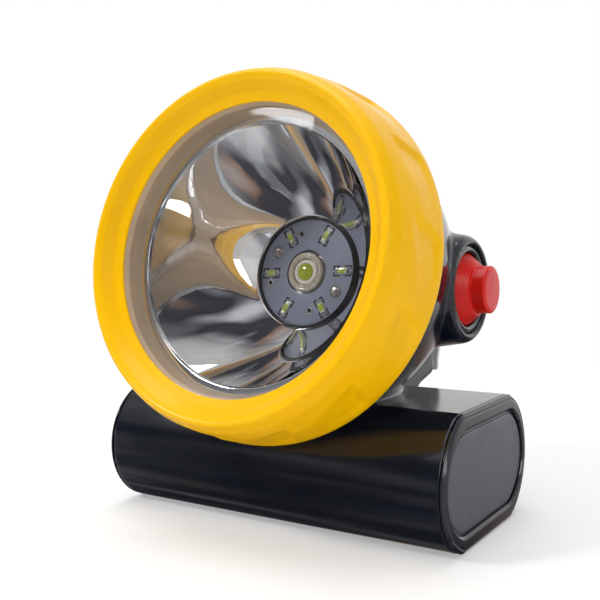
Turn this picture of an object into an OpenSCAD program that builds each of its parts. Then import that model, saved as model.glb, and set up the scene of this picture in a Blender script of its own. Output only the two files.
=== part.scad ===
// Cordless miner's cap lamp: a tilted lamp head moulded onto a two-cell battery tube.
// +Z is up, the beam leaves towards -Y, and the origin is the centre of the tube's underside.

/* [Battery tube] */
// Length over both end caps
pack_l = 78; // [76:1:84]
// Height between the two flats
pack_h = 25.5; // [25:0.5:28]
// Radius of the bulged front and rear
pack_r = 13.3; // [13.2:0.1:15]
// Distance from the middle to each bulge's centre
pack_c = 8.5; // [8.5:0.1:10]
// Wall of the moulded housing
wall = 2; // [1.8:0.1:2.2]
// Diameter of a cell
cell_d = 18.4; // [18:0.1:18.5]
// Length of a cell
cell_l = 65; // [64:0.5:65.5]

/* [Lamp head] */
// Depth position of the bezel's opening
head_y = -27.3; // [-29:0.1:-27]
// Height of the bezel's opening
head_z = 55.4; // [55:0.1:58]
// Upward tilt of the beam
head_tilt = 12; // [11:0.5:13]
// Radius of the bezel's opening
open_r = 28; // [27.6:0.1:28.2]
// Largest radius of the bezel
bezel_r = 36; // [35.8:0.1:36]
// Number of finger grips round the bezel
grips = 14; // [10:1:16]
// Turns of the bezel thread before it runs out
thread_turns = 1.7; // [1.2:0.1:1.7]
// Pitch of the bezel thread
pitch = 3; // [2.8:0.1:3]

/* [Light source] */
// Radius of the lamp board
board_r = 11.3; // [11:0.1:11.3]
// Pitch radius of the six small lamps
aux_r = 8.7; // [8.5:0.1:8.9]
// Focal length of the reflector
focal = 6.5; // [6.4:0.05:6.6]

/* [Switch] */
// Depth position of the push button's axis
boss_y = 9; // [8.5:0.1:10]
// Height of the push button's axis
boss_z = 46.6; // [46.4:0.1:47]
// Distance of the switch rim from the middle plane
rim_x = 32.2; // [32:0.1:33]
// Radius of the rim
rim_r = 10.5; // [10.4:0.1:10.8]
// Travel of the button
travel = 1.8; // [1:0.1:1.8]

/* [Helmet hook] */
// Width of the hook's tongue
hook_w = 24; // [20:1:26]
// Gap between the tongue and the block
hook_gap = 3.7; // [3.2:0.1:3.8]
// Thickness of the hook's steel
hook_t = 1; // [0.8:0.1:1.2]

/* [Hidden] */
$fn = 96;
e = 0.01;
tube_half = pack_l / 2 - 2.1;
seal_t = 0.5;
flange_t = pack_l / 2 - tube_half - seal_t;
bowl_arc = 59.8;
bowl_r0 = 32.6;
bowl_front = 14.5;
bowl_back = 50;
shoulder = 2;
spigot_r = 30.2;
spigot_in = 28.8;
thread_h = 0.9;
bezel_in = 31.35;
bezel_back = 14;
lens_r = 29.8;
lens_front = 1.6;
lens_t = 1.8;
seal_back = 4.6;
flange_s = seal_back + 0.03;
spigot_front = flange_s + 1.13;
reflector_deep = 24.5;
vertex = 30.3;
board_s = 25;
board_t = 1.6;
sink_r = 8.8;
sink_t = 5;
driver_s = 36;
driver_r = 15.5;
well_r = 8.9;
well_x = rim_x - 4;
switch_x = well_x - 2.1;
block_half = 12.5;
block_y = 34.9;
toe = 0.5;
block_top = 52;
hook_y = block_y;
seat_z = 37;
tip_z = 25.2;
oring_s = 13.2;
oring_t = 0.65;

// ---- frames and shared shapes ----

// Lamp head frame: +Z along the beam, +X across, origin in the bezel's opening.
module in_head() {
    translate([0, head_y, head_z]) rotate([90 - head_tilt, 0, 0]) children();
}

// A disc or ring standing s behind the opening, t deep.
module head_disc(s, t, r) {
    translate([0, 0, -s - t]) cylinder(h = t, r = r);
}

module head_ring(s, t, r, r_in) {
    difference() {
        head_disc(s, t, r);
        head_disc(s - 1, t + 2, r_in);
    }
}

// Frame of the push button: +Z out through the button.
module in_boss() {
    translate([0, boss_y, boss_z]) rotate([0, 90, 0]) children();
}

module boss_tube(x0, x1, r, r_in = 0) {
    difference() {
        translate([0, 0, x0]) cylinder(h = x1 - x0, r = r);
        if (r_in > 0) translate([0, 0, x0 - 1]) cylinder(h = x1 - x0 + 2, r = r_in);
    }
}

module along_x() {
    rotate([90, 0, 90]) children();
}

// Cross-section of the battery tube, shrunk by "inset": two flats and two bulges.
module pack_section(inset = 0) {
    r = pack_r - inset;
    h = pack_h - 2 * inset;
    translate([-pack_c, inset]) square([2 * pack_c, h]);
    for (side = [-1, 1])
        intersection() {
            translate([side * pack_c, pack_h / 2]) circle(r);
            translate([side < 0 ? -pack_c - r : pack_c, inset]) square([r, h]);
        }
}

module pack_bar(x0, x1, inset = 0) {
    translate([x0, 0, 0]) along_x() linear_extrude(x1 - x0) pack_section(inset);
}

// A round tube swept along a list of points.
function unit(v) = v / norm(v);
function tangent(p, i) = unit(p[min(i + 1, len(p) - 1)] - p[max(i - 1, 0)]);
function side_of(t) = unit(cross(t, abs(t[2]) < 0.8 ? [0, 0, 1] : [1, 0, 0]));

module sweep(p, r, sides = 8) {
    n = len(p);
    points = [for (i = [0:n - 1], k = [0:sides - 1])
        let (t = tangent(p, i), a = side_of(t), b = cross(t, a), g = 360 * k / sides)
            p[i] + r * (cos(g) * a + sin(g) * b)];
    skin = [for (i = [0:n - 2], k = [0:sides - 1])
        let (m = (k + 1) % sides, j = i * sides, q = j + sides)
            each [[j + k, q + k, q + m], [j + k, q + m, j + m]]];
    ends = [[for (k = [0:sides - 1]) k],
            [for (k = [0:sides - 1]) (n - 1) * sides + sides - 1 - k]];
    polyhedron(points, concat(skin, ends), convexity = 4);
}

// Points of a smooth curve through four hand-placed points.
function bend(a, b, c, d, steps = 10) =
    [for (i = [0:steps]) let (t = i / steps, u = 1 - t)
        u * u * u * a + 3 * u * u * t * b + 3 * u * t * t * c + t * t * t * d];

// A helical ridge: base_r is the wall it stands on, tip_r its crest.
module thread(base_r, tip_r, start, turns, base_w = 1.3, tip_w = 0.7) {
    per_turn = 40;
    steps = round(turns * per_turn);
    points = [for (i = [0:steps])
        let (g = 360 * i / per_turn, z = start + pitch * i / per_turn,
             fade = min(1, 0.15 + min(i, steps - i) / 6), tip = base_r + (tip_r - base_r) * fade)
            each [for (c = [[base_r, -base_w], [tip, -tip_w], [tip, tip_w], [base_r, base_w]])
                [c[0] * cos(g), c[0] * sin(g), z + c[1] / 2]]];
    out = tip_r > base_r;
    skin = [for (i = [0:steps - 1], k = [0:3])
        let (m = (k + 1) % 4, j = i * 4, q = j + 4)
            each out ? [[j + k, j + m, q + m], [j + k, q + m, q + k]]
                     : [[q + m, j + m, j + k], [q + k, q + m, j + k]]];
    first = [3, 2, 1, 0];
    last = [for (k = [0:3]) steps * 4 + k];
    polyhedron(points, concat(skin, out ? [first, last] : [[0, 1, 2, 3], [for (k = [3:-1:0]) last[k]]]),
               convexity = 6);
}

// ---- housing ----

module bowl(inset = 0, front = bowl_front, back = bowl_back) {
    rotate_extrude()
        intersection() {
            translate([bowl_r0 - bowl_arc, -bowl_front]) circle(bowl_arc - inset, $fn = 200);
            translate([0, -back]) square([bowl_r0 + 1, back - front]);
        }
}

// Saddle that carries the bowl on the tube, with a concave fillet on each side.
module neck() {
    fillet = 3.5;
    foot = 26;
    translate([0, 14, 0]) rotate([90, 0, 0]) linear_extrude(26.3)
        difference() {
            translate([-foot, pack_h - 4]) square([2 * foot, 4 + fillet]);
            for (side = [-1, 1]) translate([side * foot, pack_h + fillet]) circle(fillet);
        }
}

module hook_block() {
    translate([-block_half, 0, 0]) along_x() linear_extrude(2 * block_half)
        polygon([[8, 22], [18, 17.5], [28, 23.2], [block_y - 0.6, 24.8], [block_y + toe, 25.8],
                 [block_y + toe, 26.6], [block_y, 30], [block_y, block_top - 2],
                 [block_y - 2, block_top], [14, block_top]]);
}

module boss_shell() {
    in_boss() rotate_extrude()
        polygon([[0, 16], [13.4, 16], [rim_r + 0.45, rim_x - 2.6], [rim_r + 0.1, rim_x - 0.9],
                 [rim_r - 0.3, rim_x - 0.3], [rim_r - 0.9, rim_x], [0, rim_x]]);
}

module head_cavity() {
    difference() {
        in_head() union() {
            bowl(wall, bowl_front + shoulder, bowl_back - wall);
            head_disc(0, bowl_front + shoulder + e, spigot_in);
        }
        pack_bar(-40, 40);
        in_boss() boss_tube(switch_x + 0.1, rim_x, well_r + 1.6);
        translate([-block_half, 27, 20]) cube([2 * block_half, 12, 40]);
    }
}

module housing() {
    color("#14161b")
    difference() {
        union() {
            pack_bar(-tube_half, tube_half);
            in_head() bowl();
            in_head() head_ring(spigot_front, bowl_front - spigot_front + 1, spigot_r, spigot_in);
            in_head() thread(spigot_r - 0.3, spigot_r + thread_h, -12 + 0.5, thread_turns);
            intersection() {
                neck();
                in_head() bowl(-2.2);
            }
            boss_shell();
            hook_block();
        }
        head_cavity();
        pack_bar(-tube_half - 1, tube_half + 1, wall);
        in_boss() boss_tube(well_x, rim_x + 1, well_r);
        in_boss() boss_tube(switch_x - 4, rim_x, 2.3);
        in_boss() translate([-5.6, -5.6, switch_x - 12]) cube([11.2, 11.2, 12.1]);
        in_head() rotate_extrude() translate([spigot_r + 0.4, -oring_s]) circle(oring_t + e);
        translate([10, 4, pack_h / 2 + 4]) cylinder(h = 12, r = 2.6);
        for (side = [-1, 1])
            translate([side * 7, block_y - 7, 44]) rotate([-90, 0, 0]) cylinder(h = 8, r = 1.25);
        translate([0, 12, 32]) rotate([-90, 0, 0]) cylinder(h = 24, r = 1.6);
    }
}

// ---- battery tube ----

// End cap: a chamfered flange with a recessed panel, and a plug that enters the tube.
module end_cap(side) {
    chamfer = 0.7;
    recess = 0.7;
    rim = 2.6;
    x0 = tube_half + seal_t;
    x1 = pack_l / 2;
    color("#1b1d22")
    mirror([side < 0 ? 1 : 0, 0, 0])
    difference() {
        union() {
            intersection() {
                union() {
                    for (y = [-pack_c, pack_c])
                        translate([x0, y, pack_h / 2]) rotate([0, 90, 0]) {
                            cylinder(h = flange_t - chamfer, r = pack_r);
                            translate([0, 0, flange_t - chamfer - e])
                                cylinder(h = chamfer + e, r1 = pack_r, r2 = pack_r - chamfer);
                        }
                    translate([x0, -pack_c, 0]) cube([flange_t, 2 * pack_c, pack_h]);
                }
                translate([0, 30, 0]) rotate([90, 0, 0]) linear_extrude(60)
                    polygon([[x0, 0], [x1 - chamfer, 0], [x1, chamfer], [x1, pack_h - chamfer],
                             [x1 - chamfer, pack_h], [x0, pack_h]]);
            }
            difference() {
                pack_bar(tube_half - 3.5, x0 + e, wall + 0.15);
                pack_bar(tube_half - 4.5, x0 - 0.4, wall + 1.4);
            }
        }
        pack_bar(x1 - recess, x1 + 1, rim);
        difference() {
            pack_bar(x1 - recess - 0.4, x1 + 1, rim);
            pack_bar(x1 - recess - 1.4, x1 + 2, rim + 0.6);
        }
    }
}

module cap_seal(side) {
    color("#0b0b0c")
    mirror([side < 0 ? 1 : 0, 0, 0])
    difference() {
        pack_bar(tube_half, tube_half + seal_t, 0.3);
        pack_bar(tube_half - 1, tube_half + 2, wall + 0.1);
    }
}

module cell(y, positive) {
    color("#2f6fb4")
    translate([0, y, pack_h / 2]) rotate([0, positive > 0 ? 90 : -90, 0]) {
        translate([0, 0, -cell_l / 2]) cylinder(h = cell_l - 1.5, r = cell_d / 2);
        translate([0, 0, cell_l / 2 - 1.5 - e]) cylinder(h = 1 + e, r = 4.3);
    }
}

cell_gap = 9.4;

// The cells stand opposite ways, so each end has one nub and one flat can to reach.
module cell_tabs(side) {
    strip_x = cell_l / 2 + 0.4;
    color("#c9ccd0")
    mirror([side < 0 ? 1 : 0, 0, 0]) translate([0, 0, pack_h / 2 - 3]) {
        for (nub = [0, 1])
            translate([cell_l / 2 - 0.5 * nub, (nub == 1 ? -side : side) * cell_gap - 3, 0])
                cube([0.4 + 0.5 * nub, 6, 6]);
        translate([strip_x - 0.2, -cell_gap, 0]) cube([0.2, 2 * cell_gap, 6]);
    }
}

module protection_board() {
    color("#1f6b3a") translate([33.1, -15, pack_h / 2 - 6]) cube([1.2, 30, 12]);
    color("#101010") for (y = [-9, 0, 9])
        translate([34.3 - e, y - 2, pack_h / 2 - 2]) cube([1, 4, 4]);
}

module cell_pads() {
    left = -cell_l / 2 - 0.45;
    color("#d8d8d2") for (x = [[-tube_half, left], [35.4, tube_half]])
        translate([x[0], -14, pack_h / 2 - 5]) cube([x[1] - x[0], 28, 10]);
}

// ---- lamp head ----

// Half-section of the bezel: flared side, rounded front edge and a conical mouth.
module bezel_profile() {
    nose = 1.2;
    translate([33 - nose + 0.6, 3.7 - nose]) circle(nose);
    polygon([[open_r, 0], [open_r, -0.4], [bezel_in, -0.4],
             [bezel_in, -bezel_back], [bezel_r - 1.4, -bezel_back], [bezel_r - 0.5, -13.5],
             [bezel_r, -12.4], [bezel_r, -11], [bezel_r - 0.6, -5], [33.6, 2.6], [31.6, 3.4],
             [31.4, 2.1], [29.6, 0.7]]);
}

module bezel() {
    scoop_r = 12;
    color("#f2bd0c")
    in_head() {
        difference() {
            rotate_extrude() bezel_profile();
            for (k = [0:grips - 1])
                rotate([0, 0, (k + 0.5) * 360 / grips])
                    translate([bezel_r + scoop_r - 1.5, 0, -5.5]) sphere(scoop_r);
        }
        rotate([0, 0, 180])
            thread(bezel_in + 0.3, spigot_r + 0.3, -12 + 0.4, thread_turns - 0.2);
    }
}

module lens() {
    color("#e8f2f5", 0.3) in_head() head_disc(lens_front, lens_t, lens_r);
}

module lens_seal() {
    color("#8d7866") in_head() {
        head_ring(0.43, lens_front - 0.48, bezel_in - 0.35, open_r - 0.7);
        head_ring(lens_front - 0.06, lens_t + 0.12, bezel_in - 0.35, lens_r + 0.05);
        head_ring(lens_front + lens_t + 0.05, seal_back - lens_front - lens_t - 0.05,
                  bezel_in - 0.35, open_r - 1.25);
    }
}

module bezel_oring() {
    color("#0b0b0c")
    in_head() rotate_extrude() translate([spigot_r + 0.4, -oring_s]) circle(oring_t, $fn = 32);
}

function mirror_r(s) = sqrt(4 * focal * (vertex - s));

module reflector() {
    skin = 1.3;
    mouth = 5.3;
    steps = 14;
    inner = [for (i = [0:steps])
        let (s = mouth + (reflector_deep - mouth) * i / steps) [mirror_r(s), -s]];
    outer = [for (i = [steps:-1:0]) inner[i] + [skin, 0]];
    color("#d9dcdf")
    in_head() {
        rotate_extrude() polygon(concat(inner, outer));
        head_ring(flange_s, 1.1, lens_r + 0.3, mirror_r(mouth));
        head_ring(reflector_deep - 0.2, 4.6, mirror_r(reflector_deep) + skin, 12.4);
    }
}

module board_ring() {
    color("#111214") in_head() difference() {
        head_disc(reflector_deep, board_s - reflector_deep + board_t, 12.3);
        head_disc(reflector_deep - 1, board_s - reflector_deep + 1, board_r - 0.1);
        head_disc(board_s - e, 10, board_r + 0.05);
    }
}

module lamp_board() {
    color("#7d8696") in_head() head_ring(board_s, board_t, board_r, 4.7);
}

module aux_lamps() {
    in_head() for (k = [0:5]) rotate([0, 0, 60 * k + 2])
        translate([aux_r, 0, -board_s]) {
            color("#f4f2e8") translate([-1.6, -0.8, 0]) cube([3.2, 1.6, 0.6]);
            color("#c3d25a") translate([-0.8, -0.6, 0.6 - e]) cube([1.6, 1.2, 0.25]);
        }
}

module main_lamp() {
    color("#c9d14a") in_head() {
        head_disc(board_s - 0.2, 1.8, 2.6);
        translate([0, 0, -board_s + 0.2]) intersection() {
            sphere(1.7, $fn = 48);
            translate([0, 0, 2]) cube([4, 4, 4], center = true);
        }
    }
}

module main_optic() {
    color("#dfe3d4", 0.5) in_head() difference() {
        head_disc(board_s - 1.5, 3.1, 4.4);
        head_disc(board_s - 2.6, 6, 2.75);
    }
}

module solder_joints() {
    color("#b9bab4") in_head() for (g = [150, -28]) rotate([0, 0, g])
        translate([8.5, 0, -board_s]) intersection() {
            sphere(1.15, $fn = 32);
            translate([0, 0, 1]) cube([3, 3, 2], center = true);
        }
}

module heat_sink() {
    fins = 16;
    color("#a9adb1") in_head() {
        head_disc(board_s + board_t, 1.6, sink_r);
        head_disc(board_s + board_t + 1.5, sink_t - 1.5, 3.6);
        for (k = [0:fins - 1]) rotate([0, 0, (k + 0.5) * 360 / fins])
            translate([3.2, -0.4, -board_s - board_t - sink_t]) cube([5.4, 0.8, sink_t - 1.5]);
    }
}

module driver_board() {
    color("#1f6b3a") in_head() difference() {
        head_disc(driver_s, 1.4, driver_r);
        for (g = [90, 210, 330]) rotate([0, 0, g])
            translate([12.8, 0, -driver_s - 2]) cylinder(h = 4, r = 1.1);
    }
}

module driver_parts() {
    in_head() {
        color("#3a3a3a") translate([-4, -3, -driver_s + e]) cube([8, 6, 1.8]);
        color("#7a5a30") translate([-5, 9, -driver_s + e]) cylinder(h = 2.4, r = 2.4);
        color("#202020") translate([2, -9, -driver_s + e]) cube([5, 3, 1.6]);
    }
}

module driver_spacers() {
    color("#b8944a") in_head() for (g = [90, 210, 330]) rotate([0, 0, g]) {
        translate([12.8, 0, -driver_s - 2.4]) cylinder(h = 6, r = 1);
        translate([12.8, 0, -driver_s]) cylinder(h = driver_s - 28.95, r = 1.9);
    }
}

// ---- switch ----

module switch_body() {
    color("#23252a") in_boss() difference() {
        translate([-5.5, -5.5, switch_x - 8]) cube([11, 11, 8]);
        boss_tube(switch_x - travel - 3.4, switch_x + 1, 2.1);
    }
}

module switch_plunger() {
    color("#e6e2d5") in_boss() boss_tube(switch_x - 0.6, well_x + 2.2, 1.8);
}

module return_spring() {
    turns = 4;
    per_turn = 12;
    low = switch_x - travel - 3.1;
    rise = 4;
    color("#b9bab4") in_boss()
        sweep([for (i = [0:turns * per_turn])
            [1.3 * cos(360 * i / per_turn), 1.3 * sin(360 * i / per_turn),
             low + rise * i / (turns * per_turn)]], 0.22, 6);
}

module button_top() {
    color("#d8261c") in_boss() rotate_extrude()
        polygon([[0, well_x + 2.2], [4.5, well_x + 2.2], [4.4, well_x + 4.6], [4.7, well_x + 6.2],
                 [4.7, well_x + 7.1], [4.4, well_x + 7.6], [3.8, well_x + 7.9], [0, well_x + 8]]);
}

module button_boot() {
    flange = well_r - 0.05;
    color("#c8352c") in_boss() rotate_extrude()
        polygon([[5, well_x + 0.1], [flange, well_x + 0.1], [flange, well_x + 1.4], [7.4, well_x + 1.4],
                 [7.4, well_x + 3], [5.5, well_x + 5.2], [5, well_x + 5.4], [5, well_x + 4.4],
                 [6.6, well_x + 2.6], [6.6, well_x + 1], [5, well_x + 1]]);
}

module boot_ring() {
    color("#2a2c30") in_boss() boss_tube(well_x + 1.45, well_x + 3.4, well_r - 0.1, 7.5);
}

// ---- helmet hook ----

// The hook's side view: screwed leg, joggle outwards, tongue and a curled tip.
module helmet_hook() {
    out = hook_gap + hook_t;
    color("#c4c7ca") difference() {
        translate([-hook_w / 2, hook_y, 0]) along_x() linear_extrude(hook_w)
            polygon([[0, 50], [hook_t, 50], [hook_t, seat_z + 1], [out, seat_z - 2.4],
                     [out, tip_z + 2], [out + 0.7, tip_z + 0.4], [out + 0.1, tip_z],
                     [out - hook_t, tip_z + 1.6], [out - hook_t, seat_z - 3], [0, seat_z]]);
        for (side = [-1, 1])
            translate([side * 7, hook_y - 1, 44]) rotate([-90, 0, 0]) cylinder(h = 3, r = 1.5);
        for (side = [-1, 1])
            translate([side * (hook_w / 2 + 1), hook_y + 1.6, tip_z - 4])
                rotate([0, side * 20, 0]) translate([-1.5, 0, -6]) cube([3, 6, 12]);
    }
}

module hook_screws() {
    color("#9fa3a6") for (side = [-1, 1])
        translate([side * 7, hook_y - 5.5, 44]) rotate([-90, 0, 0]) difference() {
            union() {
                cylinder(h = 7.5, r = 1.2);
                translate([0, 0, 6.5]) cylinder(h = 1.3, r = 2.5);
            }
            translate([-2, -0.3, 7.3]) cube([4, 0.6, 1]);
            translate([-0.3, -2, 7.3]) cube([0.6, 4, 1]);
        }
}

module charge_pin() {
    color("#c9a24a") translate([0, block_y - 14.5, 32]) rotate([-90, 0, 0]) {
        cylinder(h = 15, r = 1.5);
        translate([0, 0, 14.5]) cylinder(h = 0.8, r = 2.6);
    }
}

// ---- leads ----

lead_r = 0.55;
driver_back = -driver_s - 1.45;

// The point that a point of the lamp head's frame has in the part's frame, and the way back.
function from_head(p) = [p[0],
    head_y + p[1] * sin(head_tilt) - p[2] * cos(head_tilt),
    head_z + p[1] * cos(head_tilt) + p[2] * sin(head_tilt)];
rearwards = [0, cos(head_tilt), -sin(head_tilt)];

module lamp_lead(g, tint) {
    a = [10.2 * cos(g), 10.2 * sin(g), -board_s - board_t - 0.05];
    d = [11.4 * cos(g + 14), 11.4 * sin(g + 14), -driver_s + 0.05];
    color(tint) in_head() sweep(bend(a, a - [0, 0, 3], d + [0, 0, 3], d, 8), lead_r);
}

// The two signal leads from the switch to the back of the driver board.
module switch_leads() {
    x = switch_x - 8.05;
    color("#d8d8d8") for (side = [-1, 1]) {
        start = [x, boss_y + 2, boss_z + 2 + 2 * side];
        finish = from_head([11.5, 2 + 2 * side, driver_back]);
        sweep(concat([start], bend(start - [0.4, 0, 0], start - [1.2, 0, 0], finish + 6 * rearwards,
                                   finish + 0.4 * rearwards, 8), [finish]), lead_r);
    }
}

// From the protection board, up through the tube's hole, to the back of the driver board.
module battery_lead(side, tint) {
    hole_x = 10 + 0.9 * side;
    a = [33, 2 * side, pack_h / 2 + 7.2];
    b = [20, 1.5 * side, pack_h / 2 + 7.6];
    c = [hole_x, 4, pack_h + 1];
    d = from_head([6.5 + 1.5 * side, -10.5, driver_back]);
    color(tint)
    sweep(concat(bend(a, a - [4, 0, 0], b + [4, 0, 0], b, 5),
                 bend(b - [1, 0, 0], b - [5, 0, 0], c - [0, 0, 5], c, 8),
                 bend(c + [0, 0, 1], c + [0, 0, 5], d + 5 * rearwards, d, 8)), lead_r);
}

// From the charging pin to the back of the driver board.
module charge_leads() {
    a = [0, block_y - 14.55, 32];
    d = from_head([2, -9, driver_back]);
    color("#d8d8d8") sweep(bend(a, a - [0, 4, 0], d + 4 * rearwards, d, 8), lead_r);
}

housing();
end_cap(1);  // end_cap_right
end_cap(-1);  // end_cap_left
cap_seal(1);  // cap_seal_right
cap_seal(-1);  // cap_seal_left
cell(-cell_gap, 1);  // cell_front
cell(cell_gap, -1);  // cell_rear
cell_tabs(1);  // cell_tabs_right
cell_tabs(-1);  // cell_tabs_left
protection_board();
cell_pads();
bezel();
lens();
lens_seal();
bezel_oring();
reflector();
board_ring();
lamp_board();
aux_lamps();
main_lamp();
main_optic();
solder_joints();
heat_sink();
driver_board();
driver_parts();
driver_spacers();
switch_body();
switch_plunger();
return_spring();
button_top();
button_boot();
boot_ring();
helmet_hook();
hook_screws();
charge_pin();
lamp_lead(150, "#c02020");  // lamp_lead_red
lamp_lead(-28, "#151515");  // lamp_lead_black
switch_leads();
battery_lead(-1, "#c02020");  // battery_lead_red
battery_lead(1, "#151515");  // battery_lead_black
charge_leads();
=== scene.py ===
"""Visual model of a cordless miner's cap lamp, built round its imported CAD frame."""

from __future__ import annotations

import logging
import math
from collections.abc import Callable, Sequence
from dataclasses import dataclass
from enum import Enum
from typing import ClassVar

import bpy
import numpy as np
from mathutils import Matrix, Vector


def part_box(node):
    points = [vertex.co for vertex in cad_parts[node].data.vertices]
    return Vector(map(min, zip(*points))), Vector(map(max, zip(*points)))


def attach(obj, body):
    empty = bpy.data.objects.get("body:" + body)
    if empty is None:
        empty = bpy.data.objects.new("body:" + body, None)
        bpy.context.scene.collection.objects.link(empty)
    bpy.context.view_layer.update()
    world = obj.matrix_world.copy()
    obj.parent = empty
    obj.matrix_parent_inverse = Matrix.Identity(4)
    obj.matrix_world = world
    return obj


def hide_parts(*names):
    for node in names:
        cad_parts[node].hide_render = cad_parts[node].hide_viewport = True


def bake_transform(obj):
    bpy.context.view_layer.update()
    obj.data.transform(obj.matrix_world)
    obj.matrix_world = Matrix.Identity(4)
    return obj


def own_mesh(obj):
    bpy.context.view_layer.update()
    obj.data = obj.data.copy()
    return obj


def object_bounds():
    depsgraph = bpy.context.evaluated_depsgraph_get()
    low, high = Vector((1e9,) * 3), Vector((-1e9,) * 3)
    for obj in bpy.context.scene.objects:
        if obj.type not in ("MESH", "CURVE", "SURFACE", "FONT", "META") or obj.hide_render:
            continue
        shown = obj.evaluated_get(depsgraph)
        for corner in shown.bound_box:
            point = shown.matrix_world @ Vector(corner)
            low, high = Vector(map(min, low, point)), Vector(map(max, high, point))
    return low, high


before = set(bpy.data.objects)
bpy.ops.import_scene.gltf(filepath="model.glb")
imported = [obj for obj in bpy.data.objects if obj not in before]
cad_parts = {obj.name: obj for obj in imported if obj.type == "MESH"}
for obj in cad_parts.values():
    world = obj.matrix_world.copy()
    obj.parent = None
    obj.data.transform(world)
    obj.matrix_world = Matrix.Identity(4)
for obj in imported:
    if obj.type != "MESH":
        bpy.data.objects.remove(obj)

CAD_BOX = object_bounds()
MM = 0.001
LOG = logging.getLogger("cap_lamp")

Profile = Sequence[tuple[float, float]]
Colour = tuple[float, float, float]
Shape = tuple[np.ndarray, list]


class Body(str, Enum):
    """The moving bodies of the lamp."""

    LAMP = "lamp_body"
    LENS = "lens_carrier"
    BEZEL = "bezel_ring"
    BUTTON = "button"


class Slot(str, Enum):
    """The record's material slots."""

    BLACK_PLASTIC = "black_plastic"
    PANEL_PLASTIC = "panel_plastic"
    YELLOW_PLASTIC = "yellow_plastic"
    CLEAR_LENS = "clear_lens"
    TAN_RUBBER = "tan_rubber"
    BLACK_RUBBER = "black_rubber"
    RED_RUBBER = "red_rubber"
    CHROME = "chrome_plating"
    RING_PLASTIC = "ring_plastic"
    BOARD_MASK = "board_mask"
    GREEN_BOARD = "green_board"
    LAMP_BODY = "lamp_body"
    CLEAR_HOLDER = "clear_holder"
    SOLDER = "solder"
    ALUMINIUM = "aluminium"
    BRASS = "brass"
    STEEL = "steel"
    NICKEL = "nickel"
    CELL_WRAP = "cell_wrap"
    FOAM = "foam"
    DARK_PARTS = "dark_parts"
    WHITE_PLASTIC = "white_plastic"
    LEAD_RED = "lead_red"
    LEAD_BLACK = "lead_black"
    LEAD_WHITE = "lead_white"


# ---- shader node groups and finishes ----

WHITE: Colour = (1.0, 1.0, 1.0)
DUST_COLOUR: Colour = (0.45, 0.43, 0.4)
SUBSURFACE_DEPTH = 0.0015


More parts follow.
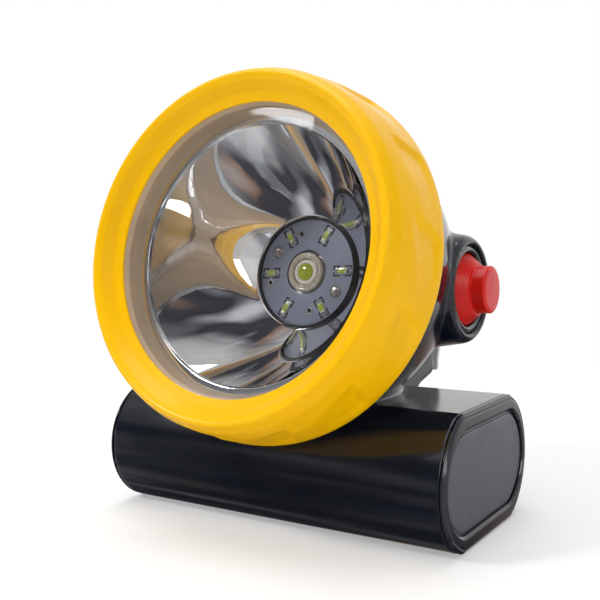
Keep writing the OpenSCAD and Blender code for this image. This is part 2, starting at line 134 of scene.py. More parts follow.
class Graph:
    """A small helper that adds nodes to a node tree and wires them."""

    def __init__(self, tree: bpy.types.NodeTree) -> None:
        """Starts on an existing tree.

        Args:
            tree: The material's, world's or group's node tree.
        """
        self.tree = tree

    def node(self, kind: str, **settings: object) -> bpy.types.Node:
        """Adds one node.

        Args:
            kind: Blender's node type name.
            settings: Node properties, such as the operation.

        Returns:
            The new node.
        """
        made = self.tree.nodes.new(kind)
        for key, value in settings.items():
            setattr(made, key, value)
        return made

    def feed(self, socket: bpy.types.NodeSocket, value: object) -> None:
        """Links or sets one input.

        Args:
            socket: The input.
            value: A socket to link, a colour or a plain value.
        """
        if isinstance(value, bpy.types.NodeSocket):
            self.tree.links.new(value, socket)
        elif socket.type == "RGBA":
            socket.default_value = (*value[:3], 1.0)
        else:
            socket.default_value = value

    def put(self, node: bpy.types.Node, **values: object) -> bpy.types.Node:
        """Feeds a node's inputs, named with underscores for spaces.

        Args:
            node: The node.
            values: What each input gets.

        Returns:
            The same node.
        """
        for key, value in values.items():
            self.feed(node.inputs[key.replace("_", " ")], value)
        return node

    def effect(self, group: bpy.types.NodeTree, **values: object) -> bpy.types.NodeSocket:
        """Places a shared node group.

        Args:
            group: The group.
            values: What each of its inputs gets.

        Returns:
            Its output.
        """
        return self.put(self.node("ShaderNodeGroup", node_tree=group), **values).outputs[0]

    def noise(self, **values: object) -> bpy.types.Node:
        """Adds a noise texture.

        Args:
            values: What each of its inputs gets.

        Returns:
            The node.
        """
        return self.put(self.node("ShaderNodeTexNoise"), **values)

    def math(self, operation: str, a: object, b: object, clamp: bool = False) -> bpy.types.NodeSocket:
        """Adds a Math node.

        Args:
            operation: The Math operation.
            a: First value or socket.
            b: Second value or socket.
            clamp: Whether the result stays from 0 to 1.

        Returns:
            The result socket.
        """
        made = self.node("ShaderNodeMath", operation=operation, use_clamp=clamp)
        self.feed(made.inputs[0], a)
        self.feed(made.inputs[1], b)
        return made.outputs[0]

    def mix(self, share: object, a: object, b: object) -> bpy.types.NodeSocket:
        """Mixes two colours.

        Args:
            share: Share of b, a value or a socket.
            a: First colour.
            b: Second colour.

        Returns:
            The mixed colour's socket.
        """
        made = self.node("ShaderNodeMix", data_type="RGBA")
        share_input, first_colour, second_colour = 0, 6, 7
        for index, value in ((share_input, share), (first_colour, a), (second_colour, b)):
            self.feed(made.inputs[index], value)
        return made.outputs[2]

    def remap(self, value: object, low: float, high: float, to_low: object, to_high: object
              ) -> bpy.types.NodeSocket:
        """Maps a range of values onto another, smoothly clamped.

        Args:
            value: The socket to map.
            low: Start of the source range.
            high: End of the source range.
            to_low: Result at the start.
            to_high: Result at the end.

        Returns:
            The result socket.
        """
        made = self.node("ShaderNodeMapRange", interpolation_type="SMOOTHSTEP")
        for index, item in enumerate((value, low, high, to_low, to_high)):
            self.feed(made.inputs[index], item)
        return made.outputs[0]

    def join(self, share: object, a: bpy.types.NodeSocket, b: bpy.types.NodeSocket) -> bpy.types.NodeSocket:
        """Mixes two shaders.

        Args:
            share: Share of b, a value or a socket.
            a: First shader.
            b: Second shader.

        Returns:
            The mixed shader's socket.
        """
        made = self.node("ShaderNodeMixShader")
        for index, item in enumerate((share, a, b)):
            self.feed(made.inputs[index], item)
        return made.outputs[0]

    def split(self, vector: bpy.types.NodeSocket) -> bpy.types.bpy_prop_collection:
        """Splits a vector into the outputs X, Y and Z."""
        made = self.node("ShaderNodeSeparateXYZ")
        self.feed(made.inputs[0], vector)
        return made.outputs


def new_group(name: str, inputs: dict[str, float], outputs: Sequence[str]) -> tuple[Graph, dict, dict]:
    """Starts a shader node group whose sockets are all plain values.

    Args:
        name: The group's name.
        inputs: Input names with their default values. "Point" becomes a vector.
        outputs: Output names.

    Returns:
        The group's graph, its input sockets by name and its output sockets by name.
    """
    tree = bpy.data.node_groups.new(name, "ShaderNodeTree")
    for key, value in inputs.items():
        kind = "NodeSocketVector" if key == "Point" else "NodeSocketFloat"
        socket = tree.interface.new_socket(name=key, in_out="INPUT", socket_type=kind)
        if kind == "NodeSocketFloat":
            socket.default_value = value
    for key in outputs:
        tree.interface.new_socket(name=key, in_out="OUTPUT", socket_type="NodeSocketFloat")
    graph = Graph(tree)
    start = graph.node("NodeGroupInput")
    end = graph.node("NodeGroupOutput")
    return graph, {k: start.outputs[k] for k in inputs}, {k: end.inputs[k] for k in outputs}


class Effects:
    """The shared shader node groups, each built once."""

    def __init__(self) -> None:
        """Builds every group."""
        self.mottle = self.build_mottle()
        self.grain = self.build_grain()
        self.scuffs = self.build_scuffs()
        self.dust = self.build_dust()

    @staticmethod
    def build_mottle() -> bpy.types.NodeTree:
        """Soft cloudy variation between two values, as on any moulded or plated surface.

        Returns:
            The group, with Value as its output.
        """
        g, given, out = new_group("soft_mottle", {"Point": 0, "Scale": 200, "Low": 0, "High": 1}, ["Value"])
        noise = g.noise(Vector=given["Point"], Scale=given["Scale"], Detail=3.0, Roughness=0.55)
        value = g.remap(noise.outputs["Fac"], 0.3, 0.7, given["Low"], given["High"])
        g.tree.links.new(value, out["Value"])
        return g.tree

    @staticmethod
    def build_grain() -> bpy.types.NodeTree:
        """Fine moulded or rubbery grain as a height.

        Returns:
            The group, with Height as its output.
        """
        g, given, out = new_group("fine_grain", {"Point": 0, "Scale": 3000, "Wave Scale": 60}, ["Height"])
        fine = g.noise(Vector=given["Point"], Scale=given["Scale"], Detail=2.0)
        broad = g.noise(Vector=given["Point"], Scale=given["Wave Scale"], Detail=1.0)
        fine_share = 0.35
        height = g.math("ADD", g.math("MULTIPLY", fine.outputs["Fac"], fine_share), broad.outputs["Fac"])
        g.tree.links.new(height, out["Height"])
        return g.tree

    @staticmethod
    def build_scuffs() -> bpy.types.NodeTree:
        """Sparse hairline marks from handling.

        Returns:
            The group, with Mask as its output.
        """
        g, given, out = new_group("hairline_scuffs", {"Point": 0, "Scale": 120, "Amount": 0.3}, ["Mask"])
        bend = g.noise(Vector=given["Point"], Scale=g.math("MULTIPLY", given["Scale"], 0.35), Detail=1.0)
        push = g.node("ShaderNodeVectorMath", operation="MULTIPLY_ADD")
        bend_reach = 0.012
        for index, item in enumerate((bend.outputs["Color"], (bend_reach,) * 3, given["Point"])):
            g.feed(push.inputs[index], item)
        lines = g.node("ShaderNodeTexVoronoi", feature="DISTANCE_TO_EDGE")
        g.put(lines, Vector=push.outputs[0], Scale=given["Scale"])
        thin = g.remap(lines.outputs["Distance"], 0.0, 0.012, 1.0, 0.0)
        patch = g.noise(Vector=given["Point"], Scale=g.math("MULTIPLY", given["Scale"], 0.6), Detail=2.0)
        where = g.remap(patch.outputs["Fac"], 0.52, 0.68, 0.0, 1.0)
        g.tree.links.new(g.math("MULTIPLY", g.math("MULTIPLY", thin, where), given["Amount"]), out["Mask"])
        return g.tree

    @staticmethod
    def build_dust() -> bpy.types.NodeTree:
        """Fine specks that lie mostly on what faces up.

        Returns:
            The group, with Mask as its output.
        """
        g, given, out = new_group("settled_dust", {"Point": 0, "Scale": 900, "Amount": 0.3}, ["Mask"])
        specks = g.node("ShaderNodeTexVoronoi")
        g.put(specks, Vector=given["Point"], Scale=given["Scale"], Randomness=1.0)
        dots = g.remap(specks.outputs["Distance"], 0.03, 0.09, 1.0, 0.0)
        thin_out = g.noise(Vector=given["Point"], Scale=g.math("MULTIPLY", given["Scale"], 0.4))
        kept = g.remap(thin_out.outputs["Fac"], 0.56, 0.62, 0.0, 1.0)
        facing = g.node("ShaderNodeNewGeometry").outputs["Normal"]
        up = g.remap(g.split(facing)["Z"], -0.2, 0.9, 0.25, 1.0)
        mask = g.math("MULTIPLY", g.math("MULTIPLY", dots, kept), up)
        g.tree.links.new(g.math("MULTIPLY", mask, given["Amount"]), out["Mask"])
        return g.tree


@dataclass(frozen=True)
class Finish:
    """One surface finish: its colour, gloss, grain and marks.

    The colour is linear. Bump distances are in metres.
    """

    slot: Slot
    colour: Colour
    rough: tuple[float, float] = (0.25, 0.35)
    metallic: float = 0.0
    tint: Colour | None = None
    tint_share: float = 0.25
    tint_scale: float = 60.0
    mottle_scale: float = 160.0
    grain_scale: float = 2600.0
    wave_scale: float = 45.0
    grain_depth: float = 0.0
    scuffs: float = 0.0
    scuff_scale: float = 110.0
    scuff_colour: Colour = (0.35, 0.35, 0.36)
    dust: float = 0.0
    coat: float = 0.0
    coat_rough: float = 0.08
    sheen: float = 0.0
    subsurface: float = 0.0
    specular: float = 0.5

    def start(self, effects: Effects, name: str | None = None
              ) -> tuple[Graph, bpy.types.Node, bpy.types.Material]:
        """Makes the material with its base layers.

        Args:
            effects: The shared node groups.
            name: The material's name, if it isn't the slot's.

        Returns:
            The graph, the Principled node and the material.
        """
        material = bpy.data.materials.new(name or self.slot.value)
        material.use_nodes = True
        material.node_tree.nodes.clear()
        g = Graph(material.node_tree)
        shader = g.node("ShaderNodeBsdfPrincipled")
        output = g.node("ShaderNodeOutputMaterial")
        g.tree.links.new(shader.outputs[0], output.inputs["Surface"])
        where = g.node("ShaderNodeTexCoord").outputs["Object"]
        g.put(shader, Metallic=self.metallic, Specular_IOR_Level=self.specular, Coat_Weight=self.coat,
              Coat_Roughness=self.coat_rough, Sheen_Weight=self.sheen, Subsurface_Weight=self.subsurface,
              Subsurface_Scale=SUBSURFACE_DEPTH)

        rough = g.effect(effects.mottle, Point=where, Scale=self.mottle_scale, Low=self.rough[0],
                         High=self.rough[1])
        shade = g.effect(effects.mottle, Point=where, Scale=self.tint_scale, Low=0.0, High=self.tint_share)
        tint = self.tint or tuple(c * 0.8 for c in self.colour)
        colour = g.mix(shade, self.colour, tint)
        if self.scuffs:
            marks = g.effect(effects.scuffs, Point=where, Scale=self.scuff_scale, Amount=self.scuffs)
            colour = g.mix(marks, colour, self.scuff_colour)
            rough = g.math("ADD", rough, g.math("MULTIPLY", marks, 0.25), clamp=True)
        if self.dust:
            specks = g.effect(effects.dust, Point=where, Amount=self.dust)
            colour = g.mix(specks, colour, DUST_COLOUR)
            rough = g.math("ADD", rough, g.math("MULTIPLY", specks, 0.4), clamp=True)
        g.put(shader, Base_Color=colour, Roughness=rough)
        if self.grain_depth:
            height = g.effect(effects.grain, Point=where, Scale=self.grain_scale, Wave_Scale=self.wave_scale)
            bump = g.put(g.node("ShaderNodeBump"), Strength=1.0, Distance=self.grain_depth, Height=height)
            g.put(shader, Normal=bump.outputs[0])
        return g, shader, material

    def material(self, effects: Effects) -> bpy.types.Material:
        """The finished material.

        Args:
            effects: The shared node groups.

        Returns:
            The material.
        """
        return self.start(effects)[2]


@dataclass(frozen=True)
class ClearPlate(Finish):
    """Thin clear polycarbonate: see-through face on, glossier at a slant."""

    face_alpha: float = 0.012
    edge_alpha: float = 0.5

    def material(self, effects: Effects) -> bpy.types.Material:
        """The clear material, whose Alpha rises with the slant of the view.

        Args:
            effects: The shared node groups.

        Returns:
            The material.
        """
        g, shader, material = self.start(effects)
        fresnel = g.put(g.node("ShaderNodeFresnel"), IOR=1.5)
        alpha = g.remap(fresnel.outputs[0], 0.04, 0.6, self.face_alpha, self.edge_alpha)
        g.put(shader, Alpha=alpha)
        return material


class Palette:
    """Every finish of the lamp, and the materials made from them."""

    FINISHES: ClassVar[tuple[Finish, ...]] = (
        Finish(Slot.BLACK_PLASTIC, (0.005, 0.007, 0.013), rough=(0.1, 0.17), tint=(0.009, 0.012, 0.019),
               mottle_scale=70, grain_depth=0.000012, grain_scale=1800, wave_scale=55,
               scuffs=0.05, scuff_scale=420, dust=0.25),
        Finish(Slot.PANEL_PLASTIC, (0.062, 0.068, 0.082), rough=(0.36, 0.44), tint=(0.075, 0.082, 0.095),
               grain_depth=0.00002, grain_scale=5000, wave_scale=70, scuffs=0.06, scuff_scale=300, dust=0.3),
        Finish(Slot.YELLOW_PLASTIC, (0.86, 0.47, 0.0), rough=(0.24, 0.34), tint=(0.78, 0.4, 0.0),
               tint_share=0.25, mottle_scale=90, grain_depth=0.00003, grain_scale=1500, wave_scale=50,
               scuffs=0.06, scuff_scale=300, scuff_colour=(0.7, 0.38, 0.02), specular=0.15),
        ClearPlate(Slot.CLEAR_LENS, (0.9, 0.92, 0.93), rough=(0.02, 0.05), tint=(0.85, 0.88, 0.9),
                   metallic=1.0, mottle_scale=60),
        Finish(Slot.TAN_RUBBER, (0.47, 0.35, 0.24), rough=(0.4, 0.55), tint=(0.36, 0.26, 0.17),
               tint_share=0.6, tint_scale=90, grain_depth=0.00002, grain_scale=4000, sheen=0.1),
        Finish(Slot.BLACK_RUBBER, (0.01, 0.01, 0.011), rough=(0.5, 0.65), grain_depth=0.00002,
               grain_scale=5000, sheen=0.1),
        Finish(Slot.RED_RUBBER, (0.6, 0.009, 0.005), rough=(0.26, 0.38), tint=(0.45, 0.008, 0.005),
               specular=0.22, tint_share=0.4, tint_scale=260, grain_depth=0.00002, grain_scale=4200),
        Finish(Slot.CHROME, (0.95, 0.95, 0.955), rough=(0.0, 0.012), metallic=1.0, tint=(0.88, 0.89, 0.9),
               tint_share=0.25, mottle_scale=120, grain_depth=0.000012, grain_scale=300, wave_scale=60),
        Finish(Slot.RING_PLASTIC, (0.012, 0.013, 0.015), rough=(0.14, 0.24), grain_depth=0.00001,
               grain_scale=4000, coat=0.5, coat_rough=0.05),
        Finish(Slot.BOARD_MASK, (0.235, 0.26, 0.34), rough=(0.3, 0.42), tint=(0.2, 0.22, 0.3),
               tint_scale=300, grain_depth=0.000012, grain_scale=3500, wave_scale=250, coat=0.35,
               coat_rough=0.2, dust=0.2),
        Finish(Slot.GREEN_BOARD, (0.012, 0.12, 0.045), rough=(0.25, 0.4), tint_scale=400,
               grain_depth=0.00001, coat=0.3),
        Finish(Slot.LAMP_BODY, (0.80, 0.78, 0.70), rough=(0.35, 0.5), tint=(0.68, 0.66, 0.55),
               tint_scale=900, grain_depth=0.000008, grain_scale=6000),
        Finish(Slot.CLEAR_HOLDER, (0.50, 0.43, 0.33), rough=(0.1, 0.22), tint=(0.68, 0.63, 0.55),
               tint_scale=700, tint_share=0.8, coat=0.6, subsurface=0.1, grain_depth=0.00001),
        Finish(Slot.SOLDER, (0.70, 0.69, 0.66), rough=(0.18, 0.34), metallic=1.0, tint=(0.5, 0.46, 0.4),
               tint_scale=1500, grain_depth=0.00006, grain_scale=1200, wave_scale=900),
        Finish(Slot.ALUMINIUM, (0.74, 0.75, 0.77), rough=(0.28, 0.42), metallic=1.0, tint_scale=500,
               grain_depth=0.00002, scuffs=0.3),
        Finish(Slot.BRASS, (0.78, 0.55, 0.22), rough=(0.2, 0.34), metallic=1.0, tint=(0.6, 0.4, 0.16),
               tint_scale=500, scuffs=0.3, grain_depth=0.00001),
        Finish(Slot.STEEL, (0.9, 0.9, 0.89), rough=(0.36, 0.5), metallic=0.35, tint=(0.8, 0.8, 0.8),
               tint_scale=220, scuffs=0.35, scuff_scale=260, grain_depth=0.00002, grain_scale=2500),
        Finish(Slot.NICKEL, (0.66, 0.62, 0.56), rough=(0.18, 0.3), metallic=1.0, tint_scale=500,
               scuffs=0.25, grain_depth=0.00001),
        Finish(Slot.CELL_WRAP, (0.03, 0.16, 0.46), rough=(0.22, 0.34), tint=(0.02, 0.12, 0.38),
               grain_depth=0.00003, grain_scale=900, wave_scale=120, coat=0.3, scuffs=0.15),
        Finish(Slot.FOAM, (0.68, 0.68, 0.63), rough=(0.8, 0.95), tint=(0.5, 0.5, 0.46), tint_scale=1800,
               grain_depth=0.00025, grain_scale=2400, wave_scale=1400, sheen=0.3),
        Finish(Slot.DARK_PARTS, (0.008, 0.008, 0.009), rough=(0.4, 0.55), tint=(0.02, 0.018, 0.016),
               tint_scale=700, grain_depth=0.00001),
        Finish(Slot.WHITE_PLASTIC, (0.75, 0.73, 0.66), rough=(0.3, 0.42), tint_scale=400,
               grain_depth=0.00001, subsurface=0.05),
        Finish(Slot.LEAD_RED, (0.5, 0.015, 0.012), rough=(0.35, 0.5), tint_scale=600, grain_depth=0.00001),
        Finish(Slot.LEAD_BLACK, (0.012, 0.012, 0.013), rough=(0.35, 0.5), tint_scale=600,
               grain_depth=0.00001),
        Finish(Slot.LEAD_WHITE, (0.66, 0.66, 0.66), rough=(0.35, 0.5), tint_scale=600,
               grain_depth=0.00001),
    )

    def __init__(self) -> None:
        """Builds the node groups and every slot's material."""
        self.effects = Effects()
        self.made = {finish.slot: finish.material(self.effects) for finish in self.FINISHES}

    def extra(self, name: str, finish: Finish) -> bpy.types.Material:
        """A material that no slot of the record has for itself.

        Args:
            name: The material's name.
            finish: Its finish.

        Returns:
            The material.
        """
        return finish.start(self.effects, name)[2]


# ---- shapes ----


HEAD_Y, HEAD_Z, HEAD_TILT = -27.3, 55.4, 12.0
BOSS_Y, BOSS_Z = 9.0, 46.6
PART = Matrix.Scale(MM, 4)
# The lamp head's frame has +Z along the beam and its origin in the bezel's opening.
HEAD = (PART @ Matrix.Translation((0.0, HEAD_Y, HEAD_Z))
        @ Matrix.Rotation(math.radians(90.0 - HEAD_TILT), 4, "X"))
# The switch boss's frame has +Z along the way out of the boss.
BOSS = PART @ Matrix.Translation((0.0, BOSS_Y, BOSS_Z)) @ Matrix.Rotation(math.radians(90.0), 4, "Y")

# The battery tube's section: two bulges joined by flats, with soft corners between them.
BULGE_R = 13.3
BULGE_Y = 8.5
TUBE_HALF_Z = 12.75
SOFT_CORNER = 4.0


def moved(points: np.ndarray, matrix: Matrix) -> np.ndarray:
    """Points carried by a matrix.

    Args:
        points: Points, one per row.
        matrix: The matrix to apply.

    Returns:
        The moved points.
    """
    m = np.array(matrix)
    return points @ m[:3, :3].T + m[:3, 3]


def rounded(corners: Sequence[tuple[float, float, float]], steps: int = 6, closed: bool = True) -> list:
    """A polygon with its corners rounded.

    Args:
        corners: Corners as (x, y, radius).
        steps: Segments in each rounding.
        closed: Whether the last corner joins the first.

    Returns:
        The points of the rounded line.
    """
    count = len(corners)
    out: list[tuple[float, float]] = []
    for i, (x, y, radius) in enumerate(corners):
        here = np.array((x, y))
        if radius <= 0 or (not closed and i in (0, count - 1)):
            out.append((x, y))
            continue
        before = np.array(corners[i - 1][:2]) - here
        after = np.array(corners[(i + 1) % count][:2]) - here
        len_a, len_b = np.linalg.norm(before), np.linalg.norm(after)
        before, after = before / len_a, after / len_b
        half = math.acos(np.clip(before @ after, -1, 1)) / 2
        reach = min(radius / math.tan(half), 0.49 * len_a, 0.49 * len_b)
        for k in range(steps + 1):
            t = k / steps
            p = ((1 - t) ** 2 * (here + before * reach) + 2 * t * (1 - t) * here
                 + t ** 2 * (here + after * reach))
            out.append((float(p[0]), float(p[1])))
    return out


def build(name: str, points: np.ndarray, faces: Sequence[Sequence[int]], normals: np.ndarray | None = None,
          sharp: float = 40.0) -> bpy.types.Object:
    """Makes a smooth-shaded mesh object.

    Args:
        name: The object's name.
        points: Vertices in metres.
        faces: Vertex numbers of each face.
        normals: Vertex normals, where they are known exactly.
        sharp: Edges with a greater angle than this, in degrees, stay sharp.

    Returns:
        The object.
    """
    mesh = bpy.data.meshes.new(name)
    mesh.from_pydata([tuple(p) for p in points.tolist()], [], [list(f) for f in faces])
    mesh.validate()
    mesh.polygons.foreach_set("use_smooth", [True] * len(mesh.polygons))
    if normals is not None:
        mesh.normals_split_custom_set_from_vertices([tuple(n) for n in normals.tolist()])
    else:
        mesh.set_sharp_from_angle(angle=math.radians(sharp))
    obj = bpy.data.objects.new(name, mesh)
    bpy.context.scene.collection.objects.link(obj)
    return obj


def grid_faces(rows: int, columns: int, wrap_rows: bool, wrap_columns: bool) -> list[tuple[int, ...]]:
    """Quads of a grid of vertices.

    Args:
        rows: Number of rows.
        columns: Vertices in each row.
        wrap_rows: Whether the last row joins the first.
        wrap_columns: Whether each row closes on itself.

    Returns:
        The faces.
    """
    faces = []
    for i in range(rows if wrap_rows else rows - 1):
        j = (i + 1) % rows
        for k in range(columns if wrap_columns else columns - 1):
            m = (k + 1) % columns
            faces.append((i * columns + k, i * columns + m, j * columns + m, j * columns + k))
    return faces


def lathe(profile: Profile, segments: int = 192, wobble: Callable | None = None) -> Shape:
    """Turns a closed profile round the local Z axis.

    Args:
        profile: Points (radius, z), counter-clockwise, so that faces point outwards.
        segments: Steps round the axis.
        wobble: A function of (radius, z, angle) grids that gives new (radius, z) grids.

    Returns:
        Points and faces. A point on the axis isn't doubled.
    """
    r = np.array([p[0] for p in profile])[:, None]
    z = np.array([p[1] for p in profile])[:, None]
    g = (2 * math.pi * np.arange(segments) / segments)[None, :]
    r, z, g = np.broadcast_arrays(r, z, g)
    if wobble:
        r, z = wobble(r, z, g)
    points = np.stack([r * np.cos(g), r * np.sin(g), z], axis=-1).reshape(-1, 3)
    faces = grid_faces(len(profile), segments, True, True)
    return merged(points, faces)


def merged(points: np.ndarray, faces: Sequence[Sequence[int]]) -> Shape:
    """Joins coinciding points and drops the faces that collapse.

    Args:
        points: The points.
        faces: The faces.

    Returns:
        The joined points and the faces that are left.
    """
    keys = np.round(points, 5)
    _, first, inverse = np.unique(keys, axis=0, return_index=True, return_inverse=True)
    inverse = inverse.ravel()
    kept = []
    for face in faces:
        ring: list[int] = []
        for v in face:
            n = int(inverse[v])
            if n not in ring:
                ring.append(n)
        if len(ring) > 2:
            kept.append(tuple(ring))
    return points[first], kept


def turned(name: str, profile: Profile, place: Matrix = HEAD, segments: int = 192,
           wobble: Callable | None = None, sharp: float = 40.0) -> bpy.types.Object:
    """A turned piece.

    Args:
        name: The object's name.
        profile: Closed profile (radius, z) in mm, counter-clockwise.
        place: The frame that the profile stands in.
        segments: Steps round the axis.
        wobble: See lathe.
        sharp: See build.

    Returns:
        The object.
    """
    points, faces = lathe(profile, segments, wobble)
    return build(name, moved(points, place), faces, sharp=sharp)


def helical_ridge(z: np.ndarray, turn: np.ndarray, start: float, pitch: float, length: float,
                  width: float) -> np.ndarray:
    """Relative height of a screw thread on a round wall.

    Args:
        z: Heights along the axis.
        turn: Angles in turns.
        start: Height at which the thread starts.
        pitch: Its climb in a turn.
        length: Its length in turns.
        width: Half its width at the foot, in units of flank_run.

    Returns:
        0 off the thread to 1 on its crest.
    """
    flank_run, fade_rate = 0.4, 8
    ridge = np.zeros_like(z)
    for lap in range(-1, 3):
        along = turn + lap
        fade = np.clip(np.minimum(along, length - along) * fade_rate, 0, 1)
        crest = np.clip(width - np.abs(z - start - pitch * along) / flank_run, 0, 1)
        ridge = np.maximum(ridge, crest * fade)
    return ridge


def smooth_step(t: np.ndarray | float) -> np.ndarray:
    """Eases from 0 to 1 with level ends, and stays there outside."""
    t = np.clip(t, 0, 1)
    return t * t * (3 - 2 * t)


def gathered(name: str, pieces: Sequence[Shape], place: Matrix, sharp: float = 40.0) -> bpy.types.Object:
    """One object from several loose meshes.

    Args:
        name: The object's name.
        pieces: Points and faces of each mesh.
        place: The frame that they stand in.
        sharp: See build.

    Returns:
        The object.
    """
    points, faces, base = [], [], 0
    for pts, fcs in pieces:
        points.append(pts)
        faces += [tuple(v + base for v in f) for f in fcs]
        base += len(pts)
    return build(name, moved(np.concatenate(points), place), faces, sharp=sharp)


def pad(width: float, depth: float, height: float, edge: float, crown: float = 0.0,
        corner: float | None = None) -> Shape:
    """A low block with rounded corners and edges, standing on z = 0.

    Args:
        width: Size along X in mm.
        depth: Size along Y in mm.
        height: Size along Z in mm.
        edge: Radius of the upper edge.
        crown: How far the middle of the top rises.
        corner: Radius of the upright corners.

    Returns:
        Points and faces.
    """
    corner = edge if corner is None else corner
    loop = []
    for quarter in range(4):
        cx = (width / 2 - corner) * (1 if quarter in (0, 3) else -1)
        cy = (depth / 2 - corner) * (1 if quarter in (0, 1) else -1)
        for k in range(7):
            g = math.pi / 2 * (quarter + k / 6)
            loop.append((cx, cy, math.cos(g), math.sin(g)))
    rows = [(0.0, 0.0), (0.0, height - edge)]
    rows += [(edge * (1 - math.cos(a)), height - edge + edge * math.sin(a))
             for a in np.linspace(math.pi / 10, math.pi / 2, 5)]
    points = []
    for inset, z in rows:
        points += [(cx + (corner - inset) * nx, cy + (corner - inset) * ny, z) for cx, cy, nx, ny in loop]
    count = len(loop)
    last = points[-count:]
    for shrink in (0.6, 0.25):
        rise = height + crown * (1 - shrink ** 2)
        points += [(x * shrink, y * shrink, rise) for x, y, _ in last]
    faces = grid_faces(len(rows) + 2, count, False, True)
    base = len(points) - count
    faces.append(tuple(base + k for k in range(count)))
    faces.append(tuple(reversed(range(count))))
    return np.array(points), faces


def placed(shape: Shape, angle: float, at: tuple[float, float, float]) -> Shape:
    """A loose mesh turned about Z and shifted.

    Args:
        shape: Points and faces.
        angle: Turn in degrees.
        at: Shift in mm, made before the turn.

    Returns:
        The placed points and the faces.
    """
    points = shape[0] + np.array(at)
    c, s = math.cos(math.radians(angle)), math.sin(math.radians(angle))
    turn = np.array([[c, -s, 0], [s, c, 0], [0, 0, 1]])
    return points @ turn.T, shape[1]


def corner_centre(corner: float) -> tuple[float, float]:
    """Where the arc that joins a flat to a bulge of the battery tube has its centre.

    Args:
        corner: Radius of the arc in mm.

    Returns:
        The centre's y and z from the tube's middle.
    """
    cz = TUBE_HALF_Z - corner
    return BULGE_Y + math.sqrt((BULGE_R - corner) ** 2 - cz ** 2), cz


def pack_loop(inset: float, corner: float = SOFT_CORNER) -> np.ndarray:
    """The battery tube's cross-section as a loop of (y, z), with its four soft corners.

    Args:
        inset: How far the loop lies inside the tube's outer surface.
        corner: Radius that joins a flat to a bulge.

    Returns:
        The loop's points, counter-clockwise seen from +X.
    """
    cy, cz = corner_centre(corner)
    switch = math.atan2(cz, cy - BULGE_Y)
    quarter = [(BULGE_Y, 0.0, BULGE_R, a) for a in np.linspace(0, switch, 16, endpoint=False)]
    quarter += [(cy, cz, corner, a) for a in np.linspace(switch, math.pi / 2, 7)]
    flat_steps = 8
    loop: list[tuple[float, float]] = []
    for mirror_y, mirror_z, order in ((1, 1, 1), (-1, 1, -1), (-1, -1, 1), (1, -1, -1)):
        part = [((y + (r - inset) * math.cos(a)) * mirror_y, (z + (r - inset) * math.sin(a)) * mirror_z)
                for y, z, r, a in quarter][::order]
        if loop:
            start, end = np.array(loop[-1]), np.array(part[0])
            if abs(start[0] - end[0]) > 1:
                loop += [tuple(start + (end - start) * k / flat_steps) for k in range(1, flat_steps)]
            if np.abs(start - end).sum() < 1e-6:
                part = part[1:]
        loop += part
    return np.array(loop[:-1]) + (0.0, TUBE_HALF_Z)


# ---- signed-distance modelling of the moulded housing ----


def soft_max(a: np.ndarray, b: np.ndarray, k: float) -> np.ndarray:
    """The larger of two distances, rounded over k mm where they meet.

    Args:
        a: First distance.
        b: Second distance.
        k: Size of the rounding.

    Returns:
        The joined distance.
    """
    h = np.maximum(k - np.abs(a - b), 0.0) / k
    return np.maximum(a, b) + h * h * k / 4


def soft_min(a: np.ndarray, b: np.ndarray, k: float) -> np.ndarray:
    """The smaller of two distances, with a fillet of about k mm.

    Args:
        a: First distance.
        b: Second distance.
        k: Size of the fillet.

    Returns:
        The joined distance.
    """
    return -soft_max(-a, -b, k)


def polygon_distance(u: np.ndarray, v: np.ndarray, corners: Profile) -> np.ndarray:
    """Signed distance to a closed polygon.

    Args:
        u: First coordinates.
        v: Second coordinates.
        corners: The polygon's corners.

    Returns:
        Distances, negative inside.
    """
    best = np.full(u.shape, 1e9)
    inside = np.zeros(u.shape, bool)
    for (x0, y0), (x1, y1) in zip(corners, list(corners[1:]) + [corners[0]]):
        dx, dy = x1 - x0, y1 - y0
        t = np.clip(((u - x0) * dx + (v - y0) * dy) / (dx * dx + dy * dy), 0, 1)
        best = np.minimum(best, np.hypot(u - x0 - t * dx, v - y0 - t * dy))
        if dy:
            crosses = (v > min(y0, y1)) & (v <= max(y0, y1)) & (u < x0 + dx * (v - y0) / dy)
            inside ^= crosses
    return np.where(inside, -best, best)


